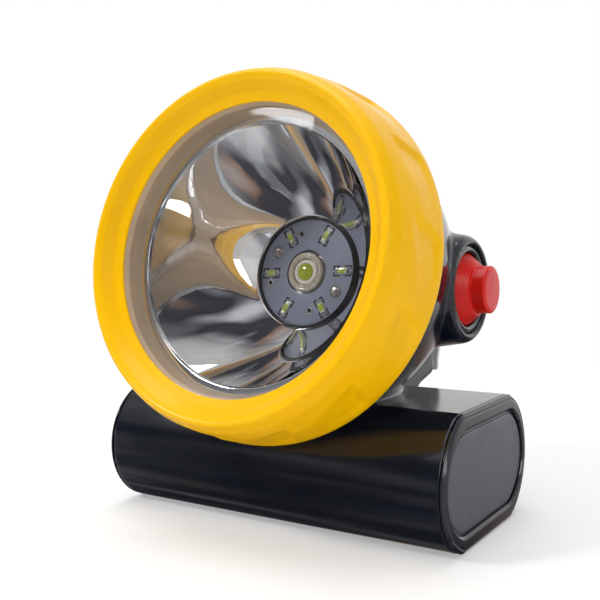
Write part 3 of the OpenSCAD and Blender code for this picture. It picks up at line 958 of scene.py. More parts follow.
def net(field: Callable[[np.ndarray], np.ndarray], low: Sequence[float], high: Sequence[float],
        cell: float) -> tuple[np.ndarray, np.ndarray, np.ndarray]:
    """Meshes the zero surface of a distance field with one vertex per crossed cell.

    Args:
        field: Distance in mm at points in mm.
        low: Lowest corner of the searched box.
        high: Highest corner.
        cell: Size of a cell.

    Returns:
        Points, quads and normals.
    """
    axes = [np.arange(a, b + cell, cell) for a, b in zip(low, high)]
    size = [len(a) for a in axes]
    values = np.empty(size, np.float32)
    yz = np.stack(np.meshgrid(axes[1], axes[2], indexing="ij"), -1).reshape(-1, 2)
    for i, x in enumerate(axes[0]):
        layer = np.column_stack([np.full(len(yz), x), yz])
        values[i] = field(layer).reshape(size[1:])
    inside = values < 0
    corners = [(i, j, k) for i in (0, 1) for j in (0, 1) for k in (0, 1)]
    shape = [s - 1 for s in size]
    total = np.zeros(shape, np.int8)
    for i, j, k in corners:
        total += inside[i:i + shape[0], j:j + shape[1], k:k + shape[2]]
    active = np.argwhere((total > 0) & (total < 8))
    number = np.full(shape, -1, np.int64)
    number[tuple(active.T)] = np.arange(len(active))
    at = np.stack([values[tuple((active + c).T)] for c in corners], 1)
    summed = np.zeros((len(active), 3))
    count = np.zeros(len(active))
    for a, ca in enumerate(corners):
        for b, cb in enumerate(corners):
            if b > a and sum(abs(p - q) for p, q in zip(ca, cb)) == 1:
                crossed = (at[:, a] < 0) != (at[:, b] < 0)
                t = at[:, a] / np.where(crossed, at[:, a] - at[:, b], 1)
                where = np.array(ca) + t[:, None] * (np.array(cb) - np.array(ca))
                summed += np.where(crossed[:, None], where, 0)
                count += crossed
    points = (active + summed / count[:, None]) * cell + np.array(low)

    def slope(p: np.ndarray) -> np.ndarray:
        """Gradient of the field.

        Args:
            p: Points.

        Returns:
            The gradient at each point.
        """
        h = 0.02
        return np.stack([field(p + h * d) - field(p - h * d) for d in np.eye(3)], 1) / (2 * h)

    newton_steps, longest_step = 4, 0.4 * cell
    for _ in range(newton_steps):
        g = slope(points)
        step = field(points)[:, None] * g / np.maximum((g * g).sum(1), 1e-3)[:, None]
        points -= np.clip(step, -longest_step, longest_step)
    normals = slope(points)
    normals /= np.maximum(np.linalg.norm(normals, axis=1), 1e-9)[:, None]

    quads = []
    for axis in range(3):
        p, q = [a for a in range(3) if a != axis]
        if axis == 1:
            p, q = q, p
        here = [slice(None)] * 3
        there = [slice(None)] * 3
        here[axis], there[axis] = slice(0, -1), slice(1, None)
        flip = inside[tuple(here)] != inside[tuple(there)]
        edges = np.argwhere(flip)
        edges = edges[(edges[:, p] > 0) & (edges[:, q] > 0)
                      & (edges[:, p] < shape[p]) & (edges[:, q] < shape[q])]
        outward = inside[tuple(edges.T)]
        ring = []
        for dp, dq in ((1, 1), (0, 1), (0, 0), (1, 0)):
            cellpos = edges.copy()
            cellpos[:, p] -= dp
            cellpos[:, q] -= dq
            ring.append(number[tuple(cellpos.T)])
        quad = np.stack(ring, 1)
        quad[~outward] = quad[~outward][:, ::-1]
        quads.append(quad)
    return points, np.concatenate(quads), normals


# ---- sub-assemblies ----


@dataclass
class Maker:
    """What every sub-assembly shares: the finishes, and the way a piece is handed over."""

    palette: Palette

    def hand_over(self, obj: bpy.types.Object, slot: Slot, body: Body, *nodes: str,
                  material: bpy.types.Material | None = None) -> None:
        """Dresses a piece and fixes it to its body.

        Args:
            obj: The piece.
            slot: The record's slot.
            body: The body that it rides on.
            nodes: The CAD nodes that it stands for.
            material: Its material, if it isn't the slot's own.
        """
        obj.data.materials.append(material or self.palette.made[slot])
        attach(obj, body.value)
        if nodes:
            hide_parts(*nodes)
        LOG.info("%s: %d faces, rides on %s", obj.name, len(obj.data.polygons), body.value)


@dataclass
class Housing(Maker):
    """The one-piece black moulding: battery tube, bowl, switch boss, hook block and spigot."""

    tube_half: float = 37.95
    wall: float = 2.0
    bowl_arc: float = 59.8
    bowl_centre: float = -27.2
    bowl_front: float = 14.5
    bowl_back: float = 50.0
    back_round: float = 7.0
    boss_r: float = 13.55
    boss_from: float = 14.0
    boss_taper: float = 0.18
    rim_x: float = 32.2
    well_r: float = 8.9
    well_x: float = 28.2
    plunger_bore: float = 2.3
    lead_hole: float = 2.6
    block_half: float = 12.5
    spigot_r: float = 30.2
    spigot_in: float = 28.8
    spigot_front: float = 5.76
    thread_h: float = 0.9
    pitch: float = 3.0
    cell: float = 0.55

    BLOCK: ClassVar[Profile] = (
        (8, 22), (18, 17.5), (28, 23.2), (34.3, 24.8), (35.4, 25.8), (35.4, 26.6), (34.9, 30),
        (34.9, 50), (32.9, 52), (14, 52))

    def tube(self, p: np.ndarray, inset: float) -> np.ndarray:
        """Distance to the battery tube's section, endless along X.

        Args:
            p: Points.
            inset: How far inside the outer surface.

        Returns:
            The distances.
        """
        y, z = np.abs(p[:, 1]), np.abs(p[:, 2] - TUBE_HALF_Z)
        cy, cz = corner_centre(SOFT_CORNER)
        in_bulge = (y > BULGE_Y) & (z * (cy - BULGE_Y) < (y - BULGE_Y) * cz)
        beside = np.where(y <= cy, z - TUBE_HALF_Z, np.hypot(y - cy, z - cz) - SOFT_CORNER)
        return np.where(in_bulge, np.hypot(y - BULGE_Y, z) - BULGE_R, beside) + inset

    def field(self, p: np.ndarray) -> np.ndarray:
        """Distance to the whole moulding.

        Args:
            p: Points in mm in the part's frame.

        Returns:
            The distances, negative in the plastic.
        """
        x, y, z = p.T
        local = moved(p * MM, HEAD.inverted())
        r, w = np.hypot(local[:, 0], local[:, 1]), local[:, 2]
        bar = soft_max(self.tube(p, 0.0), np.abs(x) - self.tube_half, 0.45)
        arc = np.hypot(r - self.bowl_centre, w + self.bowl_front) - self.bowl_arc
        behind = -w - self.bowl_back
        bowl = soft_max(soft_max(arc, w + self.bowl_front, 0.8), behind, self.back_round)
        across = np.hypot(y - BOSS_Y, z - BOSS_Z)
        slope = math.cos(math.atan(self.boss_taper))
        cone = (across - self.boss_r + (x - 16) * self.boss_taper) * slope
        boss = soft_max(soft_max(cone, x - self.rim_x, 2.2), self.boss_from - x, 2.0)
        beside_block = np.abs(x) - self.block_half
        block = soft_max(polygon_distance(y, z, self.BLOCK), beside_block, 2.2)
        solid = soft_min(soft_min(soft_min(bar, bowl, 2.4), boss, 0.9), block, 1.2)

        room = np.maximum(arc + self.wall, w + self.bowl_front + 2)
        room = soft_max(room, behind + self.wall, self.back_round)
        mouth = np.maximum(r - self.spigot_in, -w - self.bowl_front - 2.2)
        keep_block = np.maximum(beside_block, 27 - y)
        keep_boss = np.maximum(across - self.well_r - 1.6, self.well_x - 2 - x)
        between_walls = np.where(np.abs(z - 23) < 6, 0, 100)
        hollow = np.minimum.reduce([
            np.maximum.reduce([np.minimum(room, mouth), -bar, -keep_block, -keep_boss]),
            self.tube(p, self.wall),
            np.maximum(across - self.plunger_bore, 20 - x),
            np.hypot(x - 10, y - 4) + between_walls - self.lead_hole,
        ])
        well = np.maximum(across - self.well_r, self.well_x - x)
        return soft_max(soft_max(solid, -hollow, 0.4), -well, 1.1)

    def build_shell(self) -> None:
        """Builds and dresses the moulding without its spigot."""
        low, high = (-38.7, -22.9, -0.7), (38.7, 36.2, 88.0)
        points, quads, normals = net(self.field, low, high, self.cell)
        shell = build("housing_shell", points * MM, quads.tolist(), normals=normals)
        self.hand_over(shell, Slot.BLACK_PLASTIC, Body.LAMP, "housing")

    def build_spigot(self) -> None:
        """Builds and dresses the threaded neck that the bezel screws onto."""
        front, back = -self.spigot_front, -15.4
        outer = [(self.spigot_r, w) for w in np.arange(back, front - 0.35, 0.16)]
        profile = rounded([(self.spigot_in, back, 0), (self.spigot_r, back, 0)]) + outer[1:] + rounded([
            (self.spigot_r, front - 0.3, 0), (self.spigot_r - 0.3, front, 0), (self.spigot_in, front, 0)])

        def wobble(r: np.ndarray, z: np.ndarray, g: np.ndarray) -> tuple[np.ndarray, np.ndarray]:
            """Raises the thread and sinks the seal's groove.

            Args:
                r: Radii.
                z: Heights.
                g: Angles.

            Returns:
                The new radii and heights.
            """
            lift = helical_ridge(z, g / (2 * math.pi), -11.5, self.pitch, 1.7, 1.75) * self.thread_h
            groove = np.sqrt(np.clip(0.62 ** 2 - (z + 13.2) ** 2, 0, None))
            return np.where(r > self.spigot_r - 0.01, r + lift - groove * 0.6, r), z

        spigot = turned("threaded_spigot", profile, segments=288, wobble=wobble)
        self.hand_over(spigot, Slot.BLACK_PLASTIC, Body.LAMP)


@dataclass
class BatteryTube(Maker):
    """The end caps of the battery tube, with their recessed panels."""

    half: float = 39.0
    flange_x: float = 38.1
    recess: float = 0.5
    rim: float = 2.1
    groove: float = 0.45
    panel_corner: float = 7.5
    squeeze: float = 0.13

    def loft(self, profile: Profile, side: int, centre_fill: bool) -> Shape:
        """Stacks loops of the tube's section.

        Args:
            profile: (inset, x) of each loop, from inside the tube to outside.
            side: +1 for the right end and -1 for the left.
            centre_fill: Whether the last loop is closed by a face.

        Returns:
            Points and faces.
        """
        loops = []
        squeeze_from = 0.7
        for inset, x in profile:
            depth = inset if x > self.flange_x + 0.1 else 0.0
            corner = SOFT_CORNER + (self.panel_corner - SOFT_CORNER) * float(smooth_step(depth / self.rim))
            loop = pack_loop(inset, corner)
            t = float(np.clip((depth - squeeze_from) / (self.rim - squeeze_from), 0, 1))
            loop[:, 1] = TUBE_HALF_Z + (loop[:, 1] - TUBE_HALF_Z) * (1 - self.squeeze * t)
            loops.append(np.column_stack([np.full(len(loop), side * x), loop]))
        points = np.concatenate(loops)
        count = len(loops[0])
        faces = grid_faces(len(profile), count, False, True)
        if centre_fill:
            points, faces = self.close(points, faces, count, profile[-1][1] * side)
        if side < 0:
            faces = [tuple(reversed(f)) for f in faces]
        return points, faces

    @staticmethod
    def close(points: np.ndarray, faces: list, count: int, x: float) -> Shape:
        """Fills the last loop with rings that shrink to the middle.

        Args:
            points: The points so far.
            faces: The faces so far.
            count: Points in a loop.
            x: Where the face stands.

        Returns:
            The points and faces with the fill.
        """
        last = points[-count:]
        middle = np.array([x, 0.0, TUBE_HALF_Z])
        for share in (0.8, 0.5, 0.2):
            base = len(points)
            points = np.concatenate([points, middle + (last - middle) * share])
            faces += [(base - count + k, base - count + (k + 1) % count, base + (k + 1) % count, base + k)
                      for k in range(count)]
        faces.append(tuple(len(points) - count + k for k in range(count)))
        return points, faces

    def build_cap(self, side: int, name: str) -> None:
        """Builds and dresses one end cap and its panel.

        Args:
            side: +1 for the right end and -1 for the left.
            name: "right" or "left".
        """
        h, f = self.half - 0.02, self.flange_x
        floor = h - self.recess
        deep = floor - 0.5
        outer = [(3.2, f - 4.0, 0.1), (2.15, f - 4.0, 0.3), (2.15, f, 0.05), (0.02, f, 0.1),
                 (0.03, f + 0.32, 0.1), (0.62, h - 0.02, 0.3), (0.8, h - 0.1, 0.1), (0.95, h, 0.1),
                 (self.rim - 0.4, h, 0.18), (self.rim - 0.15, h - 0.35, 0.12),
                 (self.rim, deep, 0.15), (self.rim + self.groove, deep, 0.15),
                 (self.rim + self.groove + 0.02, floor - 0.3, 0)]
        points, faces = self.loft(rounded(outer, steps=6, closed=False), side, False)
        cap = build(f"end_cap_{name}_shell", points * MM, faces, sharp=35)
        self.hand_over(cap, Slot.BLACK_PLASTIC, Body.LAMP, f"end_cap_{name}")
        inner = self.rim + self.groove
        face = [(inner - 0.1, deep, 0), (inner - 0.12, floor, 0.4), (inner + 1.4, floor + 0.02, 0)]
        points, faces = self.loft(rounded(face, steps=4, closed=False), side, True)
        gate, gate_faces = lathe(rounded([(0, 0, 0), (0.34, 0, 0), (0.32, 0.1, 0.05), (0, 0.1, 0)]), 24)
        turn = np.array([[0, 0, side], [0, side, 0], [-1, 0, 0]], float)
        gate = gate @ turn.T + np.array([side * (floor - 0.03), -0.5 * side, 19.6])
        panel = gathered(f"end_panel_{name}", [(points, faces), (gate, gate_faces)], PART, sharp=35)
        self.hand_over(panel, Slot.PANEL_PLASTIC, Body.LAMP)


@dataclass
class Bezel(Maker):
    """The yellow screw ring: flared side with shallow scalloped grips, round nose, conical mouth."""

    open_r: float = 28.0
    bore: float = 31.35
    outer: float = 36.0
    lip: float = 0.4
    back: float = 14.0
    grips: int = 14
    grip_depth: float = 0.75
    grip_slant: float = 0.34
    thread_h: float = 0.75
    pitch: float = 3.0

    def profile(self) -> list[tuple[float, float]]:
        """The ring's closed half-section, counter-clockwise.

        Returns:
            Points (radius, z), finely spaced along the bore and the side.
        """
        side = rounded([
            (self.bore + 0.2, -self.back, 0), (34.6, -self.back, 0.3), (35.5, -13.6, 0.5),
            (self.outer, -12.4, 0.6), (self.outer, -11.0, 2.0), (35.4, -5.0, 4.0), (34.15, 1.2, 4.0),
            (32.75, 3.78, 1.9), (31.25, 2.75, 1.2), (29.6, 0.85, 1.6), (self.open_r, 0.05, 0.25),
            (self.open_r, -self.lip, 0.1), (self.bore, -self.lip, 0.2)], steps=6, closed=False)
        fine: list[tuple[float, float]] = []
        for (r0, z0), (r1, z1) in zip(side, side[1:]):
            pieces = max(1, int(math.hypot(r1 - r0, z1 - z0) / 0.45))
            fine += [(r0 + (r1 - r0) * k / pieces, z0 + (z1 - z0) * k / pieces) for k in range(pieces)]
        bore = [(self.bore, z) for z in np.arange(-self.lip, 0.1 - self.back, -0.18)]
        return fine + bore + [(self.bore + 0.1, -self.back + 0.03)]

    def shape(self, r: np.ndarray, z: np.ndarray, g: np.ndarray) -> tuple[np.ndarray, np.ndarray]:
        """Sinks the ratchet-like grips into the side and raises the thread in the bore.

        Args:
            r: Radii.
            z: Heights.
            g: Angles.

        Returns:
            The new radii and heights.
        """
        step = 2 * math.pi / self.grips
        slant = (-z - 6.0) * self.grip_slant / self.outer
        down = ((-g - slant) / step + 0.35) % 1.0
        along = smooth_step(down / 0.13) * np.clip((1.0 - down) / 0.87, 0, 1) ** 1.7
        across = smooth_step((-1.2 - 2.2 * down - z) / 3.4) * smooth_step((z + 12.2) / 3.2)
        outside = (r > 33.0) & (z > -13.2) & (z < 2.6)
        r = np.where(outside, r - self.grip_depth * along * across, r)

        ridge = helical_ridge(z, (g - math.pi) / (2 * math.pi), -11.6, self.pitch, 1.5, 1.7)
        inside = (np.abs(r - self.bore) < 0.02) & (z < -2)
        return np.where(inside, r - ridge * self.thread_h, r), z

    def build(self) -> None:
        """Builds and dresses the whole ring."""
        ring = turned("bezel_ring_moulding", self.profile(), segments=504, wobble=self.shape, sharp=50)
        self.hand_over(ring, Slot.YELLOW_PLASTIC, Body.BEZEL, "bezel")


@dataclass
class Optics(Maker):
    """Lens, its seal, the reflector and the ring round the lamp board."""

    lens_r: float = 29.8
    lens_front: float = 1.6
    lens_t: float = 1.8
    seal_back: float = 4.6
    focal: float = 6.5
    vertex: float = 30.3
    mouth: float = 5.3
    deep: float = 24.5
    skin: float = 1.3
    board_r: float = 11.3

    def mirror(self, s: float) -> float:
        """Radius of the mirror s mm behind the opening."""
        return math.sqrt(4 * self.focal * (self.vertex - s))

    def build(self) -> None:
        """Builds and dresses every piece."""
        s0, s1 = self.lens_front, self.lens_front + self.lens_t
        lens = turned("lens_plate", rounded([
            (0, -s1, 0), (self.lens_r, -s1, 0.25), (self.lens_r, -s0, 0.25), (0, -s0, 0)]), segments=256)
        self.hand_over(lens, Slot.CLEAR_LENS, Body.LENS, "lens")

        seal = turned("lens_gasket", rounded([
            (26.72, -self.seal_back, 0.1), (31.0, -self.seal_back, 0.2), (31.0, -0.45, 0.2),
            (28.1, -0.45, 0.2)]), segments=256)
        self.hand_over(seal, Slot.TAN_RUBBER, Body.LENS, "lens_seal")

        inner = [(self.mirror(s), -s) for s in np.linspace(self.mouth + 0.25, self.deep, 60)]
        lip_in = [(12.12, -24.66), (11.96, -24.74), (11.92, -24.86), (12.0, -25.0)]
        collar = [(12.4, -25.05), (12.4, -29.0), (14.0, -29.0)]
        outside = [(r + self.skin, z) for r, z in inner[::-1]]
        lip = self.mirror(self.mouth)
        rim = rounded([(lip + 0.9, -5.75, 0), (30.1, -5.75, 0.15), (30.1, -4.65, 0.15),
                       (lip + 0.15, -4.65, 0.35), (lip - 0.05, -5.4, 0)], steps=6, closed=False)
        cup = turned("reflector_cup", inner + lip_in + collar + outside + rim, segments=256, sharp=35)
        self.hand_over(cup, Slot.CHROME, Body.LAMP, "reflector")

        ring = turned("board_ring_moulding", rounded([
            (self.board_r + 0.06, -26.6, 0.1), (12.3, -26.6, 0.1), (12.3, -25.0, 0.1), (11.9, -24.75, 0.1),
            (11.6, -24.5, 0.2), (11.35, -24.5, 0.15), (11.2, -24.75, 0.1), (11.2, -24.97, 0.05),
            (self.board_r + 0.06, -25.0, 0.02)]), segments=192)
        self.hand_over(ring, Slot.RING_PLASTIC, Body.LAMP, "board_ring")


@dataclass
class LampBoard(Maker):
    """The round lamp board with its six small lamps, the main lamp and the solder."""

    face: float = -25.0
    board_r: float = 11.3
    thick: float = 1.6
    lamp_r: float = 8.7
    first_angle: float = 2.0

    HOLES: ClassVar[Profile] = ((8.4, 104), (9.0, 195), (8.3, -78))

    def build(self) -> None:
        """Builds and dresses every piece."""
        board = turned("lamp_board_disc", rounded([
            (4.7, self.face - self.thick, 0.08), (self.board_r, self.face - self.thick, 0.08),
            (self.board_r, self.face, 0.12), (4.7, self.face, 0.1)]), segments=192)
        self.hand_over(board, Slot.BOARD_MASK, Body.LAMP, "lamp_board")
        self.build_small_lamps()
        self.build_main_lamp()
        self.build_solder()

    def build_small_lamps(self) -> None:
        """Six surface-mounted lamps with silvered ends, yellow windows and printed corners."""
        bodies, windows, ends, print_marks = [], [], [], []

        def add(pile: list[Shape], shape: Shape, x: float, y: float, z: float) -> None:
            """Puts a loose mesh on the board, x and y from the middle of the present lamp.

            Args:
                pile: The list that it joins.
                shape: The mesh.
                x: Shift outwards from the lamp's middle.
                y: Shift sideways.
                z: Height over the board.
            """
            pile.append(placed(shape, angle, (self.lamp_r + x, y, self.face + z)))

        for k in range(6):
            angle = 60 * k + self.first_angle
            add(bodies, pad(1.95, 1.16, 0.36, 0.1), 0, 0, 0.02)
            add(windows, pad(1.65, 1.1, 0.14, 0.1, crown=0.06, corner=0.2), 0, 0, 0.34)
            for side in (-1, 1):
                add(ends, pad(0.42, 1.16, 0.34, 0.14), side * 1.12, 0, 0.01)
                add(ends, pad(0.36, 1.2, 0.08, 0.04), side * 1.42, 0, 0.0)
                for flip in (-1, 1):
                    add(print_marks, pad(1.6, 0.32, 0.04, 0.015), side * 1.35, flip * 0.98, 0.01)
                    add(print_marks, pad(0.32, 0.86, 0.04, 0.015), side * 1.99, flip * 0.71, 0.01)
        phosphor = self.palette.extra("phosphor", Finish(
            Slot.LAMP_BODY, (0.36, 0.46, 0.05), rough=(0.2, 0.35), tint=(0.5, 0.56, 0.12), tint_scale=1500,
            tint_share=0.7, coat=0.8, coat_rough=0.05, subsurface=0.1))
        self.hand_over(gathered("small_lamp_bodies", bodies, HEAD), Slot.LAMP_BODY, Body.LAMP, "aux_lamps")
        self.hand_over(gathered("small_lamp_windows", windows, HEAD), Slot.LAMP_BODY, Body.LAMP,
                       material=phosphor)
        self.hand_over(gathered("small_lamp_ends", ends, HEAD), Slot.SOLDER, Body.LAMP)
        self.hand_over(gathered("board_corner_marks", print_marks, HEAD), Slot.DARK_PARTS, Body.LAMP)

    def build_main_lamp(self) -> None:
        """The main lamp under its stepped clear holder."""
        f = self.face
        holder = turned("main_optic_holder", rounded([
            (2.7, f - 1.5, 0.1), (4.15, f - 1.5, 0.1), (4.15, f + 0.35, 0.25), (3.75, f + 0.75, 0.25),
            (3.45, f + 0.6, 0.15), (3.3, f + 0.95, 0.2), (2.95, f + 1.1, 0.15), (2.8, f + 0.75, 0.15),
            (2.7, f + 0.3, 0.1)]), segments=144)
        self.hand_over(holder, Slot.CLEAR_HOLDER, Body.LAMP, "main_optic")
        base = turned("main_lamp_base", rounded([
            (0, f - 1.6, 0), (2.6, f - 1.6, 0.1), (2.6, f + 0.35, 0.15), (2.1, f + 0.5, 0.15),
            (1.85, f + 0.15, 0.1), (0, f + 0.15, 0)]), segments=96)
        self.hand_over(base, Slot.LAMP_BODY, Body.LAMP, "main_lamp")
        radius, rise = 1.8, 0.85
        dome = [(radius * math.cos(a), f + 0.16 + rise * math.sin(a))
                for a in np.linspace(0, math.pi / 2, 16)]
        glow = self.palette.extra("main_phosphor", Finish(
            Slot.LAMP_BODY, (0.42, 0.50, 0.045), rough=(0.08, 0.18), tint=(0.3, 0.34, 0.03), tint_scale=700,
            tint_share=0.7, coat=1.0, coat_rough=0.03, subsurface=0.15))
        lamp = turned("main_lamp_dome", [(0, f + 0.1), (radius, f + 0.1)] + dome, segments=96)
        self.hand_over(lamp, Slot.LAMP_BODY, Body.LAMP, material=glow)

    def build_solder(self) -> None:
        """Two solder domes and three plated holes, each a solder ring round a flat dark disc of painted
        shade for the hole's bore.
        """
        size, rise = 1.25, 0.775
        line = [(size * math.cos(a) ** 0.8, rise * math.sin(a) ** 0.9)
                for a in np.linspace(0, math.pi / 2 - 1e-3, 14)]
        dome = lathe([(0, 0), (size * 1.12, 0), (size * 1.1, 0.05)] + line[1:] + [(0, rise)], 48)
        ring = lathe(rounded([(0.5, 0, 0), (0.68, 0, 0), (0.66, 0.07, 0.03), (0.5, 0.07, 0.03)]), 36)
        # The holes are not cut: a thin dark disc on the board face is painted shade for each bore.
        hole = lathe([(0, 0), (0.5, 0), (0.5, 0.02), (0, 0.02)], 24)
        for name, shape, places, slot, nodes in (
                ("solder_domes", dome, ((8.5, 150), (8.5, -28)), Slot.SOLDER, ("solder_joints",)),
                ("board_hole_rings", ring, self.HOLES, Slot.SOLDER, ()),
                ("painted_hole_shade", hole, self.HOLES, Slot.DARK_PARTS, ())):
            pieces = [placed(shape, angle, (radius, 0, self.face)) for radius, angle in places]
            self.hand_over(gathered(name, pieces, HEAD), slot, Body.LAMP, *nodes)


@dataclass
class PushButton(Maker):
    """The red rubber boot over the push button, the ring that clamps it, and the spring beneath."""

    well_x: float = 28.2
    well_r: float = 8.85
    spring_turns: int = 5
    coil_r: float = 1.3
    wire_r: float = 0.2
    pressed_share: float = 0.6

    def build_spring(self) -> None:
        """The coil spring under the plunger."""
        low, high = (np.array(corner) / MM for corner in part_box("return_spring"))
        steps, sides = 24 * self.spring_turns, 8
        flat_share = 0.15
        t = np.linspace(0, 1, steps + 1)
        climb = np.clip((t - flat_share) / (1 - 2 * flat_share), 0, 1)
        x = low[0] + self.wire_r + (high[0] - low[0] - 2 * self.wire_r) * climb
        g = 2 * math.pi * self.spring_turns * t[:, None]
        a = np.linspace(0, 2 * math.pi, sides, endpoint=False)
        out = self.coil_r + self.wire_r * np.cos(a)
        rows = np.stack([x[:, None] + self.wire_r * np.sin(a), BOSS_Y + out * np.cos(g),
                         BOSS_Z + out * np.sin(g)], -1)
        faces = grid_faces(steps + 1, sides, False, True)
        faces += [tuple(range(sides))[::-1], tuple(range(steps * sides, (steps + 1) * sides))]
        spring = build("return_spring_coil", rows.reshape(-1, 3) * MM, faces)
        self.hand_over(spring, Slot.STEEL, Body.LAMP, "return_spring")
        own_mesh(spring)

    def build(self) -> None:
        """Builds and dresses the boot and its ring."""
        x = self.well_x
        outside = rounded([
            (self.well_r, x + 0.1, 0.1), (self.well_r, x + 1.4, 0.3), (7.3, x + 1.4, 0.3),
            (7.2, x + 2.7, 0.5), (5.3, x + 5.0, 0.4), (4.7, x + 5.1, 0.25), (4.75, x + 7.75, 0.4),
            (3.9, x + 7.98, 0.5), (0, x + 8.02, 0)], steps=7, closed=False)
        inside = rounded([
            (0, x + 6.9, 0), (3.5, x + 6.8, 0.3), (3.8, x + 4.4, 0.4), (5.0, x + 4.2, 0.3),
            (6.6, x + 2.5, 0.4), (6.6, x + 1.0, 0.2), (5.0, x + 0.9, 0.1),
            (5.0, x + 0.1, 0.1)], steps=4, closed=False)
        points, faces = lathe(outside + inside, 128)
        boot = build("button_boot_moulding", moved(points, BOSS), faces, sharp=45)
        boot.data.materials.append(self.palette.made[Slot.RED_RUBBER])
        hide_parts("button_top", "button_boot")
        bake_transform(boot)
        LOG.info("%s: %d faces, bends towards the button", boot.name, len(boot.data.polygons))

        ring = turned("boot_clamp_ring", rounded([
            (7.5, x + 1.45, 0.1), (8.82, x + 1.45, 0.1), (8.82, x + 3.0, 0.3), (7.9, x + 3.35, 0.4),
            (7.5, x + 2.9, 0.2)]), place=BOSS, segments=128)
        self.hand_over(ring, Slot.RING_PLASTIC, Body.LAMP, "boot_ring")


@dataclass
class HelmetHook(Maker):
    """The pressed steel hook behind the lamp, with its two screws and the charging pin."""

    y: float = 34.9
    top: float = 50.0
    width: float = 24.0
    gap: float = 3.7
    thick: float = 1.0
    top_round: float = 2.0
    taper_below: float = 31.0
    taper: float = 8.0
    corner: float = 0.3

    def half_width(self, z: float) -> float:
        """Half the strip's width, rounded off at the top and tapered at the bottom.

        Args:
            z: Height.

        Returns:
            The half width in mm.
        """
        above = max(0.0, z - (self.top - self.top_round)) / self.top_round
        below = max(0.0, self.taper_below - z)
        rounding = self.top_round * (1 - math.sqrt(max(0.0, 1 - above ** 2)))
        return self.width / 2 - rounding - below * math.tan(math.radians(self.taper))

    def build(self) -> None:
        """Builds and dresses the hook, screws and pin."""
        half = self.thick / 2
        seat, out = self.y + half, self.y + self.gap + half
        line = [np.array(p) for p in rounded([
            (seat, self.top, 0), (seat, 38.0, 2.2), (out, 34.2, 2.2), (out, 27.6, 1.6),
            (out + 0.55, 26.0, 0.6), (out + 0.1, 25.35, 0)], steps=8, closed=False)]
        dense: list[np.ndarray] = []
        for a, b in zip(line, line[1:]):
            pieces = max(1, int(np.linalg.norm(b - a) / 0.7))
            dense += [a + (b - a) * k / pieces for k in range(pieces)]
        dense.append(line[-1])
        end_thin = {0: 0.55, 1: 0.88}
        rings = []
        for i, p in enumerate(dense):
            t = dense[min(i + 1, len(dense) - 1)] - dense[max(i - 1, 0)]
            n = np.array([-t[1], t[0]]) / np.linalg.norm(t)
            wide = self.half_width(p[1])
            thin = half * end_thin.get(min(i, len(dense) - 1 - i), 1.0)
            for sx, sn, g0 in ((1, 1, 0), (-1, 1, 90), (-1, -1, 180), (1, -1, 270)):
                for k in range(4):
                    g = math.radians(g0 + 30 * k)
                    u = sx * (wide - self.corner) + self.corner * math.cos(g)
                    v = sn * max(thin - self.corner, 0.0) + min(self.corner, thin) * math.sin(g)
                    rings.append((u, p[0] + n[0] * v, p[1] + n[1] * v))
        count = len(rings) // len(dense)
        faces = [tuple(reversed(f)) for f in grid_faces(len(dense), count, False, True)]
        faces.append(tuple(range(count)))
        faces.append(tuple(reversed(range(len(rings) - count, len(rings)))))
        hook = build("helmet_hook_steel", np.array(rings) * MM, faces, sharp=45)
        self.hand_over(hook, Slot.STEEL, Body.LAMP, "helmet_hook")
        self.build_screws()

    def build_screws(self) -> None:
        """Two pan-head screws with cross recesses, and the brass charging pin."""
        outward = Matrix(((1, 0, 0, 0), (0, 0, 1, 0), (0, -1, 0, 0), (0, 0, 0, 1)))

        def recess(r: np.ndarray, z: np.ndarray, g: np.ndarray) -> tuple[np.ndarray, np.ndarray]:
            """Sinks a cross into the head.

            Args:
                r: Radii.
                z: Heights.
                g: Angles.

            Returns:
                The same radii and the new heights.
            """
            x, y = np.abs(r * np.cos(g)), np.abs(r * np.sin(g))
            arm = np.clip((0.42 - np.minimum(x, y)) / 0.12, 0, 1) * np.clip((1.45 - r) / 0.2, 0, 1)
            return r, np.where(z > 0.3, z - 0.75 * arm, z)

        radius, edge, crown = 2.5, 0.35, 0.95
        head = [(radius, 0.0), (radius, edge)] + [
            (radius * math.cos(a), edge + crown * math.sin(a))
            for a in np.linspace(0.12, math.pi / 2 - 0.5, 8)]
        top = edge + crown
        head += [(r, top - 0.06 * r) for r in np.arange(1.9, 0.05, -0.09)] + [(0.0, top)]
        profile = [(0.0, -6.5), (1.2, -6.5), (1.2, 0.0)] + head
        screws = []
        for side in (-1, 1):
            points, faces = lathe(profile, 96, recess)
            place = Matrix.Translation((side * 7.0, self.y + self.thick + 0.02, 44.0)) @ outward
            screws.append((moved(points, place), faces))
        self.hand_over(gathered("hook_screw_pair", screws, PART), Slot.NICKEL, Body.LAMP, "hook_screws")
        pin = turned("charge_pin_turned", rounded([
            (0, -14.5, 0), (1.5, -14.5, 0.2), (1.5, 0.02, 0), (2.6, 0.02, 0.1), (2.6, 0.8, 0.25),
            (1.3, 0.8, 0.15), (1.1, 0.62, 0.1), (0, 0.62, 0)]),
            place=PART @ Matrix.Translation((0, self.y, 32.0)) @ outward, segments=64)
        self.hand_over(pin, Slot.BRASS, Body.LAMP, "charge_pin")


